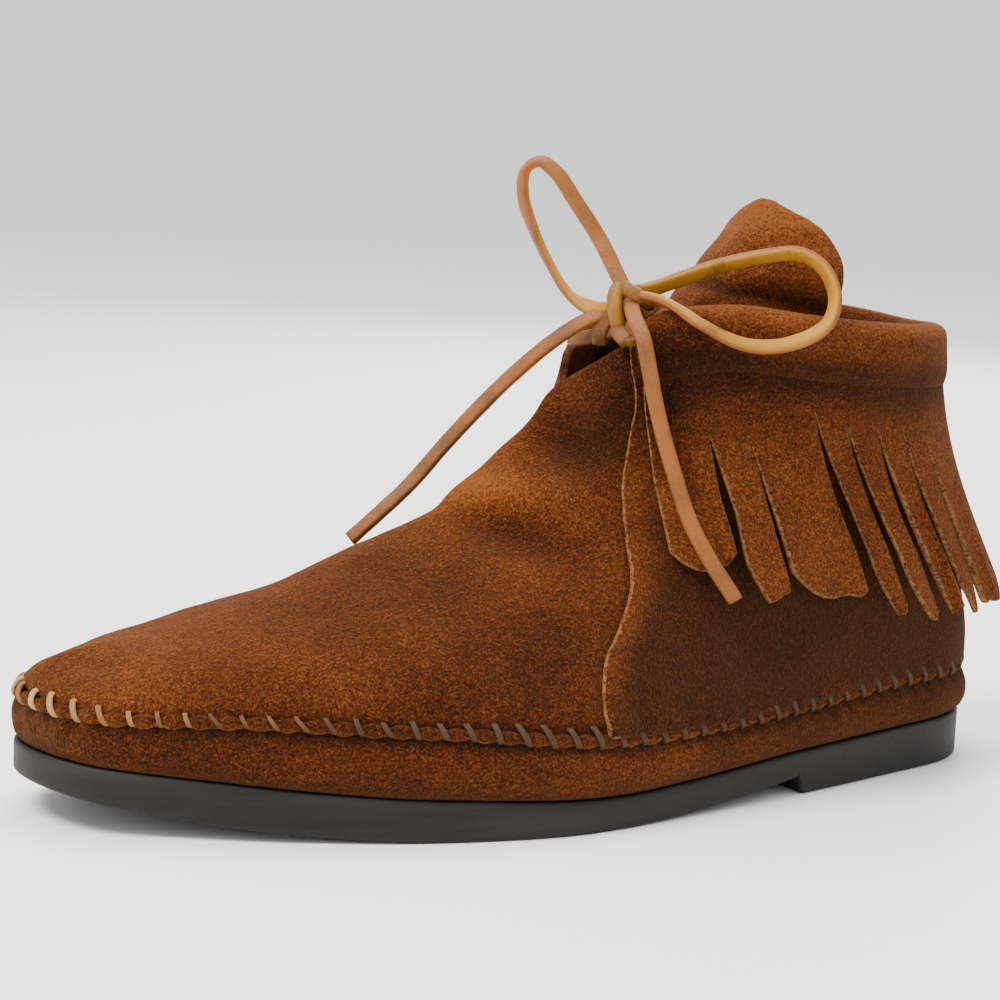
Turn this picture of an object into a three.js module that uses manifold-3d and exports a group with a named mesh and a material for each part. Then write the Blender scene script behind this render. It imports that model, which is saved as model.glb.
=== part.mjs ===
// A moccasin boot for the left foot, in millimetres: toe along +X, outer side +Y, up +Z.
// It stands empty on its sole. Tables hold shares of the named sizes that they follow.
import * as THREE from 'three';
import { mergeVertices } from 'three/addons/utils/BufferGeometryUtils.js';
import Module from 'manifold-3d';

const wasm = await Module();
wasm.setup();

// Driving sizes
const LENGTH = 250; // sole, back of the heel to the tip of the toe
const BALL_WIDTH = 93; // sole across the ball of the foot
const SOLE_THICKNESS = 9.5; // rubber under the ball
const TOE_SPRING = 9.2; // ground to the tip of the sole
const ARCH_RISE = 4.4; // ground to the waist, just before the heel
const WRAP_HEIGHT = 12; // leather sidewall between sole and whipped seam
const WRAP_BULGE = 1.6; // how far the sidewall swells past the sole
const SEAM_HEIGHT = 1.6; // rise of the whipped seam above the sidewall
const COLLAR_HEIGHT = 110; // ground to the rim of the opening at the side
const WALL = 1.8; // suede with its lining
const QUARTER_WALL = 1.4; // suede lapped over the vamp
const TONGUE_WALL = 2;
const INSOLE_THICKNESS = 3;
const MARGIN = 8; // leather turned in under the foot
const CUFF_HEIGHT = 16.5; // rolled cuff, top to its seam
const CUFF_DEPTH = 5.4; // how far the roll stands off the rim
const BAND_DROP = 23; // rim of the opening to the start of the cuts
const BAND_LAP = 3; // how far the strips run up behind that line
const FRINGE_WALL = 1.6;
const FRINGE_LENGTH = 69; // rim of the opening to the longest tips
const LACE_RADIUS = 1.6; // of the round that has the thong's section
const CUT = 0.0016; // half the cut between two strips, as a share of the cuff's length
const TAPER = 0.004; // how much a strip's side draws in by its tip, as the same share
const GAP = 0.3; // between pieces that touch
const FOOT_INSET = 1; // upper's foot, in from the sole's outline

// Steps of the surfaces
const LOOP_STEPS = 72; // around the boot, from the toe over the outer side
const THROAT_STEP = 18; // the loop step whose section ends at the throat
const RISE_STEPS = 7; // from the whipped seam up to the ridge or rim
const STRIP_STEPS = 4; // from the band down to a strip's tip

// Sole seen from above: x as a share of the length, y of the ball width
const PLAN = [
  { at: 0.06, outer: 0.226, inner: -0.224 },
  { at: 0.14, outer: 0.292, inner: -0.288 },
  { at: 0.28, outer: 0.39, inner: -0.318 },
  { at: 0.42, outer: 0.473, inner: -0.33 },
  { at: 0.56, outer: 0.527, inner: -0.378 },
  { at: 0.68, outer: 0.478, inner: -0.447 },
  { at: 0.8, outer: 0.364, inner: -0.452 },
  { at: 0.9, outer: 0.236, inner: -0.383 },
  { at: 0.96, outer: 0.143, inner: -0.296 },
];
const TOE_OFFSET = -0.086; // tip of the toe, as a share of the ball width

// Sole seen from the side: the seat above the ground line, as a share of the thickness
const HEEL_SHARE = 0.279;
const ARCH_SHARE = 0.5;
const SPRING_SHARE = 0.66;
const SEAT = [
  { at: 0, top: 1.27 },
  { at: 0.28, top: 1.11 },
  { at: 0.5, top: 0.8 },
  { at: 0.7, top: 0.99 },
  { at: 0.85, top: 1.01 },
  { at: 1, top: 0.76 },
];

// Sidewall wrap: its height and its swell along the length
const WRAP = [
  { at: 0, height: 0.9, bulge: 1 },
  { at: 0.15, height: 0.9, bulge: 1 },
  { at: 0.3, height: 0.82, bulge: 0.8 },
  { at: 0.42, height: 0.9, bulge: 0.6 },
  { at: 0.54, height: 1.02, bulge: 0.5 },
  { at: 0.68, height: 1.16, bulge: 0.5 },
  { at: 0.85, height: 1.05, bulge: 0.6 },
  { at: 0.94, height: 0.85, bulge: 0.4 },
  { at: 1, height: 0.78, bulge: 0.3 },
];
const WRAP_ROWS = [
  { rise: 0.28, swell: 0.85 },
  { rise: 0.7, swell: 0.8 },
];

// Ridge of the vamp, from the toe to the throat: shares of length and collar height
const RIDGE = [
  { at: 0.95, height: 0.362 },
  { at: 0.888, height: 0.377 },
  { at: 0.83, height: 0.409 },
  { at: 0.79, height: 0.437 },
  { at: 0.753, height: 0.463 },
  { at: 0.715, height: 0.5 },
  { at: 0.688, height: 0.532 },
  { at: 0.65, height: 0.575 },
  { at: 0.618, height: 0.604 },
  { at: 0.577, height: 0.646 },
  { at: 0.546, height: 0.706 },
  { at: 0.506, height: 0.826 },
  { at: 0.484, height: 0.873 },
];

// Rim of the opening, from the throat to the back: shares of length and ball width to the outer
// and inner side, and shares of the collar height there, high outside and low inside
const COLLAR = [
  { at: 0, x: 0.484, outer: 0, inner: 0, high: 0.873, low: 0.873 },
  { at: 0.08, x: 0.466, outer: 0.085, inner: 0.08, high: 0.925, low: 0.925 },
  { at: 0.2, x: 0.426, outer: 0.178, inner: 0.168, high: 0.995, low: 0.957 },
  { at: 0.35, x: 0.357, outer: 0.25, inner: 0.24, high: 1.022, low: 0.975 },
  { at: 0.5, x: 0.279, outer: 0.294, inner: 0.28, high: 1.008, low: 1 },
  { at: 0.65, x: 0.196, outer: 0.301, inner: 0.285, high: 0.992, low: 1.01 },
  { at: 0.78, x: 0.138, outer: 0.25, inner: 0.24, high: 0.983, low: 1 },
  { at: 0.9, x: 0.096, outer: 0.145, inner: 0.14, high: 0.978, low: 0.985 },
  { at: 1, x: 0.083, outer: 0, inner: 0, high: 0.976, low: 0.976 },
];

// Sections of the upper, from the toe to the heel: how steeply they leave the ridge or rim,
// how they lean in over the seam, and how full they are at the top and the foot
const SECTIONS = [
  { at: 0, fall: 2, lean: 0.3, top: 0.42, foot: 0.3 },
  { at: 0.12, fall: 4, lean: 0.3, top: 0.36, foot: 0.32 },
  { at: 0.25, fall: 10, lean: 0.3, top: 0.3, foot: 0.34 },
  { at: 0.36, fall: 20, lean: 0.25, top: 0.26, foot: 0.36 },
  { at: 0.45, fall: 34, lean: 0.22, top: 0.22, foot: 0.38 },
  { at: 0.5, fall: 50, lean: 0.2, top: 0.2, foot: 0.38 },
  { at: 0.56, fall: 72, lean: 0.16, top: 0.22, foot: 0.36 },
  { at: 0.65, fall: 86, lean: 0.1, top: 0.3, foot: 0.34 },
  { at: 0.85, fall: 88, lean: 0.02, top: 0.34, foot: 0.3 },
  { at: 1, fall: 86, lean: -0.04, top: 0.34, foot: 0.3 },
];

// Front edge of the quarter, from the throat down to the sole
const QUARTER_EDGE = [
  { x: 0.442, height: 0.93 },
  { x: 0.44, height: 0.854 },
  { x: 0.452, height: 0.751 },
  { x: 0.467, height: 0.652 },
  { x: 0.475, height: 0.556 },
  { x: 0.481, height: 0.479 },
  { x: 0.501, height: 0.405 },
  { x: 0.521, height: 0.35 },
  { x: 0.53, height: 0.274 },
  { x: 0.529, height: 0.192 },
  { x: 0.528, height: 0.1 },
];

// Tongue, from under the vamp to its round top
const TONGUE = [
  { at: 0, x: 0.492, height: 0.722, width: 0.1, sweep: 0.012, droop: 0.045 },
  { at: 0.12, x: 0.459, height: 0.78, width: 0.11, sweep: 0.018, droop: 0.045 },
  { at: 0.25, x: 0.43, height: 0.875, width: 0.12, sweep: 0.036, droop: 0.04 },
  { at: 0.38, x: 0.397, height: 0.965, width: 0.145, sweep: 0.075, droop: 0.03 },
  { at: 0.52, x: 0.357, height: 1.05, width: 0.19, sweep: 0.12, droop: 0.02 },
  { at: 0.65, x: 0.325, height: 1.12, width: 0.215, sweep: 0.1, droop: 0.015 },
  { at: 0.78, x: 0.298, height: 1.185, width: 0.2, sweep: 0.07, droop: 0.01 },
  { at: 0.91, x: 0.275, height: 1.245, width: 0.145, sweep: 0.03, droop: 0.01 },
  { at: 1, x: 0.26, height: 1.272, width: 0.05, sweep: 0.006, droop: 0.004 },
];

// Cuff section beside the rim: out from the leather and up, in shares of depth and height
const CUFF = [
  { out: 0.42, rise: -0.72 },
  { out: 0.42, rise: 0.03 },
  { out: -0.42, rise: 0.03 },
  { out: -0.42, rise: -0.24 },
  { out: -0.72, rise: -0.24 },
  { out: -0.76, rise: 0.04 },
  { out: -0.42, rise: 0.2 },
  { out: 0.15, rise: 0.25 },
  { out: 0.7, rise: 0.17 },
  { out: 0.98, rise: -0.06 },
  { out: 1, rise: -0.38 },
  { out: 0.78, rise: -0.72 },
];

// How far the band and the strips hang off the leather, down from the rim
const HANG = [
  { drop: 0.15, off: 0.44 },
  { drop: 0.3, off: 0.5 },
  { drop: 0.5, off: 0.7 },
  { drop: 0.75, off: 1.15 },
  { drop: 1, off: 1.7 },
];

// Strips of the fringe from the outer front corner round to the inner one:
// start and end along the cuff, length, lean of the tip along the cuff, and lift off the leather
const STRIPS = [
  { from: 0, to: 0.056, length: 0.8, lean: 0, lift: 0 },
  { from: 0.056, to: 0.104, length: 0.91, lean: -0.01, lift: 0.5 },
  { from: 0.104, to: 0.196, length: 0.93, lean: -0.018, lift: 0.8 },
  { from: 0.196, to: 0.232, length: 0.99, lean: -0.014, lift: 0.3 },
  { from: 0.232, to: 0.268, length: 1, lean: -0.01, lift: 0.9 },
  { from: 0.268, to: 0.304, length: 0.97, lean: -0.006, lift: 0.4 },
  { from: 0.304, to: 0.346, length: 0.98, lean: -0.006, lift: 1 },
  { from: 0.346, to: 0.396, length: 0.96, lean: -0.01, lift: 0.3 },
  { from: 0.396, to: 0.442, length: 0.97, lean: -0.008, lift: 0.8 },
  { from: 0.442, to: 0.486, length: 1, lean: -0.004, lift: 0.2 },
  { from: 0.486, to: 0.53, length: 0.95, lean: 0, lift: 0.7 },
  { from: 0.53, to: 0.58, length: 0.93, lean: 0.004, lift: 0.2 },
  { from: 0.58, to: 0.63, length: 0.96, lean: 0.006, lift: 0.9 },
  { from: 0.63, to: 0.69, length: 0.95, lean: 0.008, lift: 0.4 },
  { from: 0.69, to: 0.75, length: 0.98, lean: 0.01, lift: 0.8 },
  { from: 0.75, to: 0.81, length: 1, lean: 0.012, lift: 0.3 },
  { from: 0.81, to: 0.88, length: 0.96, lean: 0.014, lift: 0.7 },
  { from: 0.88, to: 0.94, length: 0.94, lean: 0.008, lift: 0.4 },
  { from: 0.94, to: 1, length: 0.86, lean: 0, lift: 0 },
];

// The thong as it lies: its bar from one front corner of the cuff to the other, the knot before
// it, two loops and two ends
const KNOT_PLACE = [108.2, 8.5, 116.2];
const KNOT_SIZE = [7.6, 8, 9.4];
const BAR_ROUTE = [
  [113.2, 16.2, 107.4],
  [113.4, 12.8, 109.2],
  [111.4, 9.4, 109.7],
  [110.9, 5.4, 109],
  [112.4, 0.5, 107.2],
  [113.8, -4.5, 106],
  [113.4, -8.6, 105.6],
];
const OUTER_LOOP_ROUTE = [
  [104.7, 9, 118.6],
  [96, 8.5, 121],
  [87.2, 12, 124.7],
  [78.2, 17.5, 127.6],
  [70.6, 23, 128.8],
  [66.5, 27, 125.8],
  [65.8, 31.5, 119.6],
  [69.1, 34.3, 113.7],
  [76.6, 35, 109.6],
  [86.2, 33.6, 107.8],
  [93.8, 32, 109],
  [101.4, 29, 112.8],
  [105.2, 21.6, 116.6],
  [107.2, 12.7, 117.2],
];
const INNER_LOOP_ROUTE = [
  [109.2, 6.1, 120.1],
  [111.6, -1, 129.9],
  [115.8, -6, 138.5],
  [119.4, -10, 145.3],
  [122.3, -13, 147.7],
  [124.9, -15, 145.5],
  [125.3, -15, 139.3],
  [123.3, -13, 131.8],
  [119.6, -9, 124],
  [116.6, -3, 118.4],
  [112.6, 5.5, 116.2],
];
const OUTER_END_ROUTE = [
  [110.1, 12.6, 114.6],
  [112.6, 18.4, 113.2],
  [113.2, 23.6, 108.8],
  [112, 24.9, 102],
  [110.6, 25.8, 95],
  [109.4, 27.6, 88.1],
  [108, 31.2, 79.2],
  [105.9, 35.9, 68.3],
  [102.8, 40.2, 60],
  [96.5, 42.8, 50.3],
];
const INNER_END_ROUTE = [
  [110.1, 5, 113.9],
  [113.6, 3.2, 112.4],
  [117.4, 0.8, 110],
  [123.5, -4, 104.1],
  [130.7, -10, 95.1],
  [137.1, -14, 86.8],
  [143.3, -18, 77.9],
  [149.5, -21, 69.3],
  [156.2, -23, 62.4],
  [162.5, -26, 55.5],
];

const clamp = THREE.MathUtils.clamp;
const vec = (x, y, z) => new THREE.Vector3(x, y, z);

// Smooth curve through knots { t, v }, sorted by t: a cubic between knots with slopes
// from the three nearest ones. Beyond the ends it keeps the end value.
function through(knots, t) {
  const last = knots.length - 1;
  if (t <= knots[0].t) return knots[0].v;
  if (t >= knots[last].t) return knots[last].v;
  let k = 0;
  while (t > knots[k + 1].t) k += 1;
  const slope = (i) => {
    const a = knots[Math.max(i - 1, 0)];
    const b = knots[i];
    const c = knots[Math.min(i + 1, last)];
    if (a === b) return (c.v - b.v) / (c.t - b.t);
    if (b === c) return (b.v - a.v) / (b.t - a.t);
    const before = (b.v - a.v) / (b.t - a.t);
    const after = (c.v - b.v) / (c.t - b.t);
    const share = (b.t - a.t) / (c.t - a.t);
    return before * (1 - share) + after * share;
  };
  const step = knots[k + 1].t - knots[k].t;
  const s = (t - knots[k].t) / step;
  const h = s * s * (3 - 2 * s);
  const rise = s * (1 - s) * (1 - s) * slope(k) - s * s * (1 - s) * slope(k + 1);
  return knots[k].v * (1 - h) + knots[k + 1].v * h + rise * step;
}

// Column of a table as knots over its key
function column(table, key, name) {
  const knots = table.map((row) => ({ t: row[key], v: row[name] }));
  return knots.sort((a, b) => a.t - b.t);
}

const seatCurve = column(SEAT, 'at', 'top');
const wrapHeight = column(WRAP, 'at', 'height');
const wrapBulge = column(WRAP, 'at', 'bulge');
const ridgeCurve = column(RIDGE, 'at', 'height');
const hangCurve = column(HANG, 'drop', 'off');

// Outline of the sole by angle: 0 at the toe, half a turn at the heel, inner side negative
const planKnots = (() => {
  const angle = (at) => Math.acos(2 * at - 1);
  const outer = PLAN.map((row) => ({ t: angle(row.at), v: row.outer }));
  const inner = PLAN.map((row) => ({ t: -angle(row.at), v: row.inner }));
  const ends = [{ t: 0, v: TOE_OFFSET }, { t: Math.PI, v: 0 }, { t: -Math.PI, v: 0 }];
  const beyond = [
    { t: 2 * Math.PI + inner[0].t, v: inner[0].v },
    { t: -2 * Math.PI + outer[0].t, v: outer[0].v },
  ];
  return [...outer, ...inner, ...ends, ...beyond].sort((a, b) => a.t - b.t);
})();

function planPoint(angle) {
  const x = (LENGTH * (1 + Math.cos(angle))) / 2;
  return new THREE.Vector2(x, BALL_WIDTH * through(planKnots, angle));
}

// Point beside the sole's outline, out by a distance square to it
function planOffset(angle, out) {
  const small = 0.02;
  const wrapped = angle > Math.PI ? angle - 2 * Math.PI : angle;
  const here = planPoint(wrapped);
  const ahead = planPoint(wrapped + small);
  const behind = planPoint(wrapped - small);
  const along = ahead.sub(behind).normalize();
  return new THREE.Vector2(here.x + along.y * out, here.y - along.x * out);
}

// Heights of the sole along its length
function springAt(share) {
  const rise = clamp((share - SPRING_SHARE) / (1 - SPRING_SHARE), 0, 1.1);
  return TOE_SPRING * rise * rise;
}

function archAt(share) {
  const rise = clamp((ARCH_SHARE - share) / (ARCH_SHARE - HEEL_SHARE), 0, 1);
  return ARCH_RISE * Math.pow(rise, 1.5);
}

function seatAt(share) {
  return SOLE_THICKNESS * through(seatCurve, share) + springAt(share);
}

function seamRise(share) {
  return WRAP_HEIGHT * through(wrapHeight, share);
}

// Closed mesh of positions and triangles as a solid
function solid(positions, triangles) {
  const geometry = new THREE.BufferGeometry();
  geometry.setAttribute('position', new THREE.Float32BufferAttribute(positions, 3));
  geometry.setIndex(triangles);
  return fromGeometry(geometry);
}

function fromGeometry(source) {
  const geometry = source.clone();
  geometry.deleteAttribute('normal');
  geometry.deleteAttribute('uv');
  const merged = mergeVertices(geometry, 1e-4);
  const position = merged.getAttribute('position');
  const index = merged.getIndex().array;
  const kept = [];
  for (let t = 0; t < index.length; t += 3) {
    const [a, b, c] = [index[t], index[t + 1], index[t + 2]];
    if (a !== b && b !== c && a !== c) kept.push(a, b, c);
  }
  return new wasm.Manifold(new wasm.Mesh({
    numProp: 3,
    vertProperties: new Float32Array(position.array),
    triVerts: new Uint32Array(kept),
  }));
}

function toGeometry(body) {
  const mesh = body.getMesh();
  const geometry = new THREE.BufferGeometry();
  geometry.setAttribute('position', new THREE.BufferAttribute(new Float32Array(mesh.vertProperties), 3));
  geometry.setIndex(new THREE.BufferAttribute(new Uint32Array(mesh.triVerts), 1));
  return geometry;
}

// Outline in x and y raised between two heights
function prismUp(points, low, high) {
  const geometry = new THREE.ExtrudeGeometry(new THREE.Shape(points), {
    depth: high - low,
    bevelEnabled: false,
  });
  geometry.translate(0, 0, low);
  return fromGeometry(geometry);
}

// Outline in x and z carried through the whole width
function prismAcross(points) {
  const reach = 2 * BALL_WIDTH;
  const geometry = new THREE.ExtrudeGeometry(new THREE.Shape(points), {
    depth: reach,
    bevelEnabled: false,
  });
  geometry.rotateX(Math.PI / 2);
  geometry.translate(0, reach / 2, 0);
  return fromGeometry(geometry);
}

function steps(count, from, to) {
  return Array.from({ length: count + 1 }, (_, i) => from + ((to - from) * i) / count);
}

// Outline of the sole as points, inset by a distance
function soleOutline(inset) {
  const turns = steps(LOOP_STEPS, 0, 2 * Math.PI).slice(0, -1);
  return turns.map((angle) => planOffset(angle, -inset));
}

// Plate under the foot between two heights that follow the seat
function seatPlate(outline, low, high) {
  const shares = steps(40, -0.04, 1.04);
  const top = shares.map((share) => new THREE.Vector2(share * LENGTH, high(share)));
  const bottom = shares.map((share) => new THREE.Vector2(share * LENGTH, low(share)));
  return prismUp(outline, -1, 3 * SOLE_THICKNESS).intersect(prismAcross([...bottom, ...top.reverse()]));
}

// Rubber sole: flat heel and forefoot, an arch with a curved breast, and toe spring
function makeOutsole() {
  const body = seatPlate(soleOutline(0), (share) => springAt(share), (share) => seatAt(share));
  const archShares = steps(14, HEEL_SHARE - 0.06, ARCH_SHARE);
  const roof = archShares.map((share) => new THREE.Vector2(share * LENGTH, archAt(share)));
  const floor = [new THREE.Vector2(ARCH_SHARE * LENGTH, -1), new THREE.Vector2(roof[0].x, -1)];
  const breast = LENGTH * HEEL_SHARE;
  const sag = 0.09 * BALL_WIDTH;
  const reach = 0.7 * BALL_WIDTH;
  const bend = steps(16, -1, 1).map((s) => new THREE.Vector2(breast + sag * (0.45 - s * s * 1.6), s * reach));
  const ahead = [new THREE.Vector2(LENGTH, reach), new THREE.Vector2(LENGTH, -reach)];
  const cut = prismAcross([...roof, ...floor]).intersect(prismUp([...bend, ...ahead], -2, 2 * ARCH_RISE));
  return body.subtract(cut);
}

// Sock board on the turned-in margin
function makeInsole() {
  const inset = FOOT_INSET + 1.5 * WALL + 4 * GAP;
  const base = (share) => seatAt(share) + 2 * GAP + WALL;
  return seatPlate(soleOutline(inset), base, (share) => base(share) + INSOLE_THICKNESS);
}

// Share of the ridge that belongs to a loop step, denser at the toe
function ridgePoint(step) {
  const first = RIDGE[0].at;
  const last = RIDGE[RIDGE.length - 1].at;
  const along = step / THROAT_STEP;
  const share = first + (last - first) * (0.45 * along + 0.55 * along * along);
  const side = clamp((share - last) / (1 - last), 0, 1);
  return vec(LENGTH * share, BALL_WIDTH * TOE_OFFSET * side, COLLAR_HEIGHT * through(ridgeCurve, share));
}

// Climb of the ridge towards the throat, per millimetre along the boot
function ridgeSlope(step) {
  const ahead = ridgePoint(Math.max(step - 0.5, 0));
  const behind = ridgePoint(Math.min(step + 0.5, THROAT_STEP));
  return (behind.z - ahead.z) / (behind.x - ahead.x);
}

function collarPoint(share, side) {
  const read = (name) => through(column(COLLAR, 'at', name), share);
  const y = side > 0 ? read('outer') : -read('inner');
  return vec(LENGTH * read('x'), BALL_WIDTH * y, COLLAR_HEIGHT * (side > 0 ? read('high') : read('low')));
}

// Section of the upper at a loop step, from the turned-in margin up to the ridge or rim
function sectionAt(step) {
  const angle = (2 * Math.PI * step) / LOOP_STEPS;
  const half = Math.min(step, LOOP_STEPS - step);
  const side = step <= LOOP_STEPS / 2 ? 1 : -1;
  const edge = planOffset(angle, 0);
  const share = clamp(edge.x / LENGTH, 0, 1);
  const seat = seatAt(share) + GAP;
  const rise = seamRise(share);
  const swell = WRAP_BULGE * through(wrapBulge, share);
  const at = (out, z) => {
    const p = planOffset(angle, out);
    return vec(p.x, p.y, z);
  };
  const resting = (out) => {
    const p = planOffset(angle, out);
    return vec(p.x, p.y, seatAt(p.x / LENGTH) + GAP);
  };
  const rows = [resting(-FOOT_INSET - MARGIN), resting(-FOOT_INSET)];
  for (const row of WRAP_ROWS) {
    rows.push(at((FOOT_INSET + swell) * row.swell - FOOT_INSET, seat + rise * row.rise));
  }
  rows.push(at(-FOOT_INSET - GAP, seat + rise));
  const start = at(-FOOT_INSET, seat + rise + SEAM_HEIGHT);
  const vamp = half <= THROAT_STEP;
  const top = vamp ? ridgePoint(half) : collarPoint((half - THROAT_STEP) / (LOOP_STEPS / 2 - THROAT_STEP), side);
  const reach = top.distanceTo(start);
  const flat = vec(start.x - top.x, start.y - top.y, 0).normalize();
  const slope = vamp ? ridgeSlope(half) : 0;
  const form = (name) => through(column(SECTIONS, 'at', name), (2 * half) / LOOP_STEPS);
  const fall = THREE.MathUtils.degToRad(form('fall'));
  const level = vec(flat.x, flat.y, slope * flat.x).normalize();
  const leave = level.multiplyScalar(Math.cos(fall)).add(vec(0, 0, -Math.sin(fall))).normalize();
  const lift = vec(-flat.x * form('lean'), -flat.y * form('lean'), 1).normalize();
  const first = start.clone().addScaledVector(lift, reach * form('foot'));
  const second = top.clone().addScaledVector(leave, reach * form('top'));
  const curve = new THREE.CubicBezierCurve3(start, first, second, top);
  for (const t of steps(RISE_STEPS, 0, 1)) rows.push(curve.getPoint(t));
  return rows;
}

const sections = steps(LOOP_STEPS, 0, LOOP_STEPS).slice(0, -1).map(sectionAt);
const ROWS = sections[0].length;

// Outward directions of the upper's surface, one for each point of its sections
const directions = sections.map((rows, i) => rows.map((point, j) => {
  const half = Math.min(i, LOOP_STEPS - i);
  if (j === 0) return vec(0, 0, -1);
  if (j === 1) {
    const wall = rows[2].clone().sub(rows[0]);
    return vec(wall.x, wall.y, 0).normalize().add(vec(0, 0, -1));
  }
  if (j === ROWS - 1 && half <= THROAT_STEP) {
    const ahead = ridgePoint(Math.max(half - 1, 0));
    const behind = ridgePoint(Math.min(half + 1, THROAT_STEP));
    const along = behind.sub(ahead);
    return vec(along.z, 0, -along.x).normalize();
  }
  const next = sections[(i + 1) % LOOP_STEPS][j];
  const previous = sections[(i + LOOP_STEPS - 1) % LOOP_STEPS][j];
  const around = next.clone().sub(previous);
  const up = rows[Math.min(j + 1, ROWS - 1)].clone().sub(rows[j - 1]);
  return around.cross(up).normalize();
}));

// Surface of the upper moved out by a distance
function formPoint(i, j, out) {
  return sections[i][j].clone().addScaledVector(directions[i][j], out);
}

// Open shell between two distances from the upper's own surface
function shell(outer, inner) {
  const positions = [];
  const triangles = [];
  const number = (i, j, layer) => ((i % LOOP_STEPS) * ROWS + j) * 2 + layer;
  for (let i = 0; i < LOOP_STEPS; i += 1) {
    for (let j = 0; j < ROWS; j += 1) {
      positions.push(...formPoint(i, j, outer).toArray(), ...formPoint(i, j, inner).toArray());
    }
  }
  const quad = (a, b, c, d) => triangles.push(a, b, c, a, c, d);
  for (let i = 0; i < LOOP_STEPS; i += 1) {
    for (let j = 0; j + 1 < ROWS; j += 1) {
      quad(number(i, j, 0), number(i + 1, j, 0), number(i + 1, j + 1, 0), number(i, j + 1, 0));
      quad(number(i, j, 1), number(i, j + 1, 1), number(i + 1, j + 1, 1), number(i + 1, j, 1));
    }
    quad(number(i, 0, 0), number(i, 0, 1), number(i + 1, 0, 1), number(i + 1, 0, 0));
    const open = i >= THROAT_STEP && i < LOOP_STEPS - THROAT_STEP;
    const top = ROWS - 1;
    if (open) quad(number(i, top, 0), number(i + 1, top, 0), number(i + 1, top, 1), number(i, top, 1));
  }
  return solid(positions, triangles);
}

// Quarter: the layer outside the upper, behind its front edge and above the whipped seam
function makeQuarter() {
  const cover = shell(GAP + QUARTER_WALL, GAP);
  const edge = QUARTER_EDGE.map((row) => new THREE.Vector2(row.x * LENGTH, row.height * COLLAR_HEIGHT));
  const front = new THREE.SplineCurve(edge).getPoints(32);
  const seamShares = steps(20, 0.52, -0.05);
  const bottom = seamShares.map((share) => new THREE.Vector2(
    share * LENGTH,
    seatAt(clamp(share, 0, 1)) + seamRise(clamp(share, 0, 1)) + GAP + 0.5 * SEAM_HEIGHT,
  ));
  const rim = COLLAR.map((row) => new THREE.Vector2(row.x * LENGTH, row.low * COLLAR_HEIGHT - 1));
  const top = new THREE.SplineCurve(rim).getPoints(32).filter((p) => p.x < front[0].x - 1).reverse();
  const back = new THREE.Vector2(-0.05 * LENGTH, top[0].y);
  const above = front.filter((p) => p.y > bottom[0].y);
  return cover.intersect(prismAcross([...bottom, back, ...top, ...above]));
}

// Tongue: a scoop that leans back out of the opening
function tonguePoint(across, at) {
  const turn = (across * Math.PI) / 2;
  const value = (name) => through(column(TONGUE, 'at', name), at);
  const x = LENGTH * (value('x') - value('sweep') * (1 - Math.cos(turn)));
  const y = BALL_WIDTH * value('width') * Math.sin(turn);
  const z = COLLAR_HEIGHT * (value('height') - value('droop') * across * across);
  return vec(x, y, z);
}

function makeTongue() {
  const wide = 10;
  const tall = 13;
  const point = (i, j) => tonguePoint((2 * i) / wide - 1, j / tall);
  const grid = steps(wide, 0, wide).map((i) => steps(tall, 0, tall).map((j) => point(i, j)));
  return sheetSolid(grid, TONGUE_WALL);
}

// Sheet of points given a thickness, half on each side
function sheetSolid(grid, thickness) {
  const wide = grid.length;
  const tall = grid[0].length;
  const positions = [];
  const triangles = [];
  const number = (i, j, layer) => (i * tall + j) * 2 + layer;
  for (let i = 0; i < wide; i += 1) {
    for (let j = 0; j < tall; j += 1) {
      const along = grid[Math.min(i + 1, wide - 1)][j].clone().sub(grid[Math.max(i - 1, 0)][j]);
      const up = grid[i][Math.min(j + 1, tall - 1)].clone().sub(grid[i][Math.max(j - 1, 0)]);
      const normal = along.cross(up).normalize();
      positions.push(...grid[i][j].clone().addScaledVector(normal, thickness / 2).toArray());
      positions.push(...grid[i][j].clone().addScaledVector(normal, -thickness / 2).toArray());
    }
  }
  const quad = (a, b, c, d) => triangles.push(a, b, c, a, c, d);
  for (let i = 0; i + 1 < wide; i += 1) {
    for (let j = 0; j + 1 < tall; j += 1) {
      quad(number(i, j, 0), number(i + 1, j, 0), number(i + 1, j + 1, 0), number(i, j + 1, 0));
      quad(number(i, j, 1), number(i, j + 1, 1), number(i + 1, j + 1, 1), number(i + 1, j, 1));
    }
    quad(number(i, 0, 0), number(i, 0, 1), number(i + 1, 0, 1), number(i + 1, 0, 0));
    const last = tall - 1;
    quad(number(i, last, 0), number(i + 1, last, 0), number(i + 1, last, 1), number(i, last, 1));
  }
  for (let j = 0; j + 1 < tall; j += 1) {
    quad(number(0, j, 0), number(0, j + 1, 0), number(0, j + 1, 1), number(0, j, 1));
    const last = wide - 1;
    quad(number(last, j, 0), number(last, j, 1), number(last, j + 1, 1), number(last, j + 1, 0));
  }
  return solid(positions, triangles);
}

// The cuff runs over these loop steps, from its outer front corner round to the inner one
const CUFF_FROM = THROAT_STEP + 3;
const CUFF_TO = LOOP_STEPS - THROAT_STEP - 4;

// Place beside the upper at a step (whole or not) and a drop below the rim
function besideRim(step, drop, off) {
  const low = Math.floor(clamp(step, CUFF_FROM, CUFF_TO - 1));
  const mix = step - low;
  const place = (i) => {
    const rows = sections[i];
    const rim = rows[ROWS - 1];
    const height = rim.z - Math.max(drop, 0);
    let j = ROWS - 1;
    while (rows[j - 1].z > height) j -= 1;
    const share = clamp((rows[j].z - height) / (rows[j].z - rows[j - 1].z), 0, 1);
    const base = rows[j].clone().lerp(rows[j - 1], share);
    const out = directions[i][ROWS - 1].clone().setZ(0).normalize();
    base.addScaledVector(out, off);
    base.z = rim.z - drop;
    return base;
  };
  return place(low).lerp(place(low + 1), mix);
}

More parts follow.
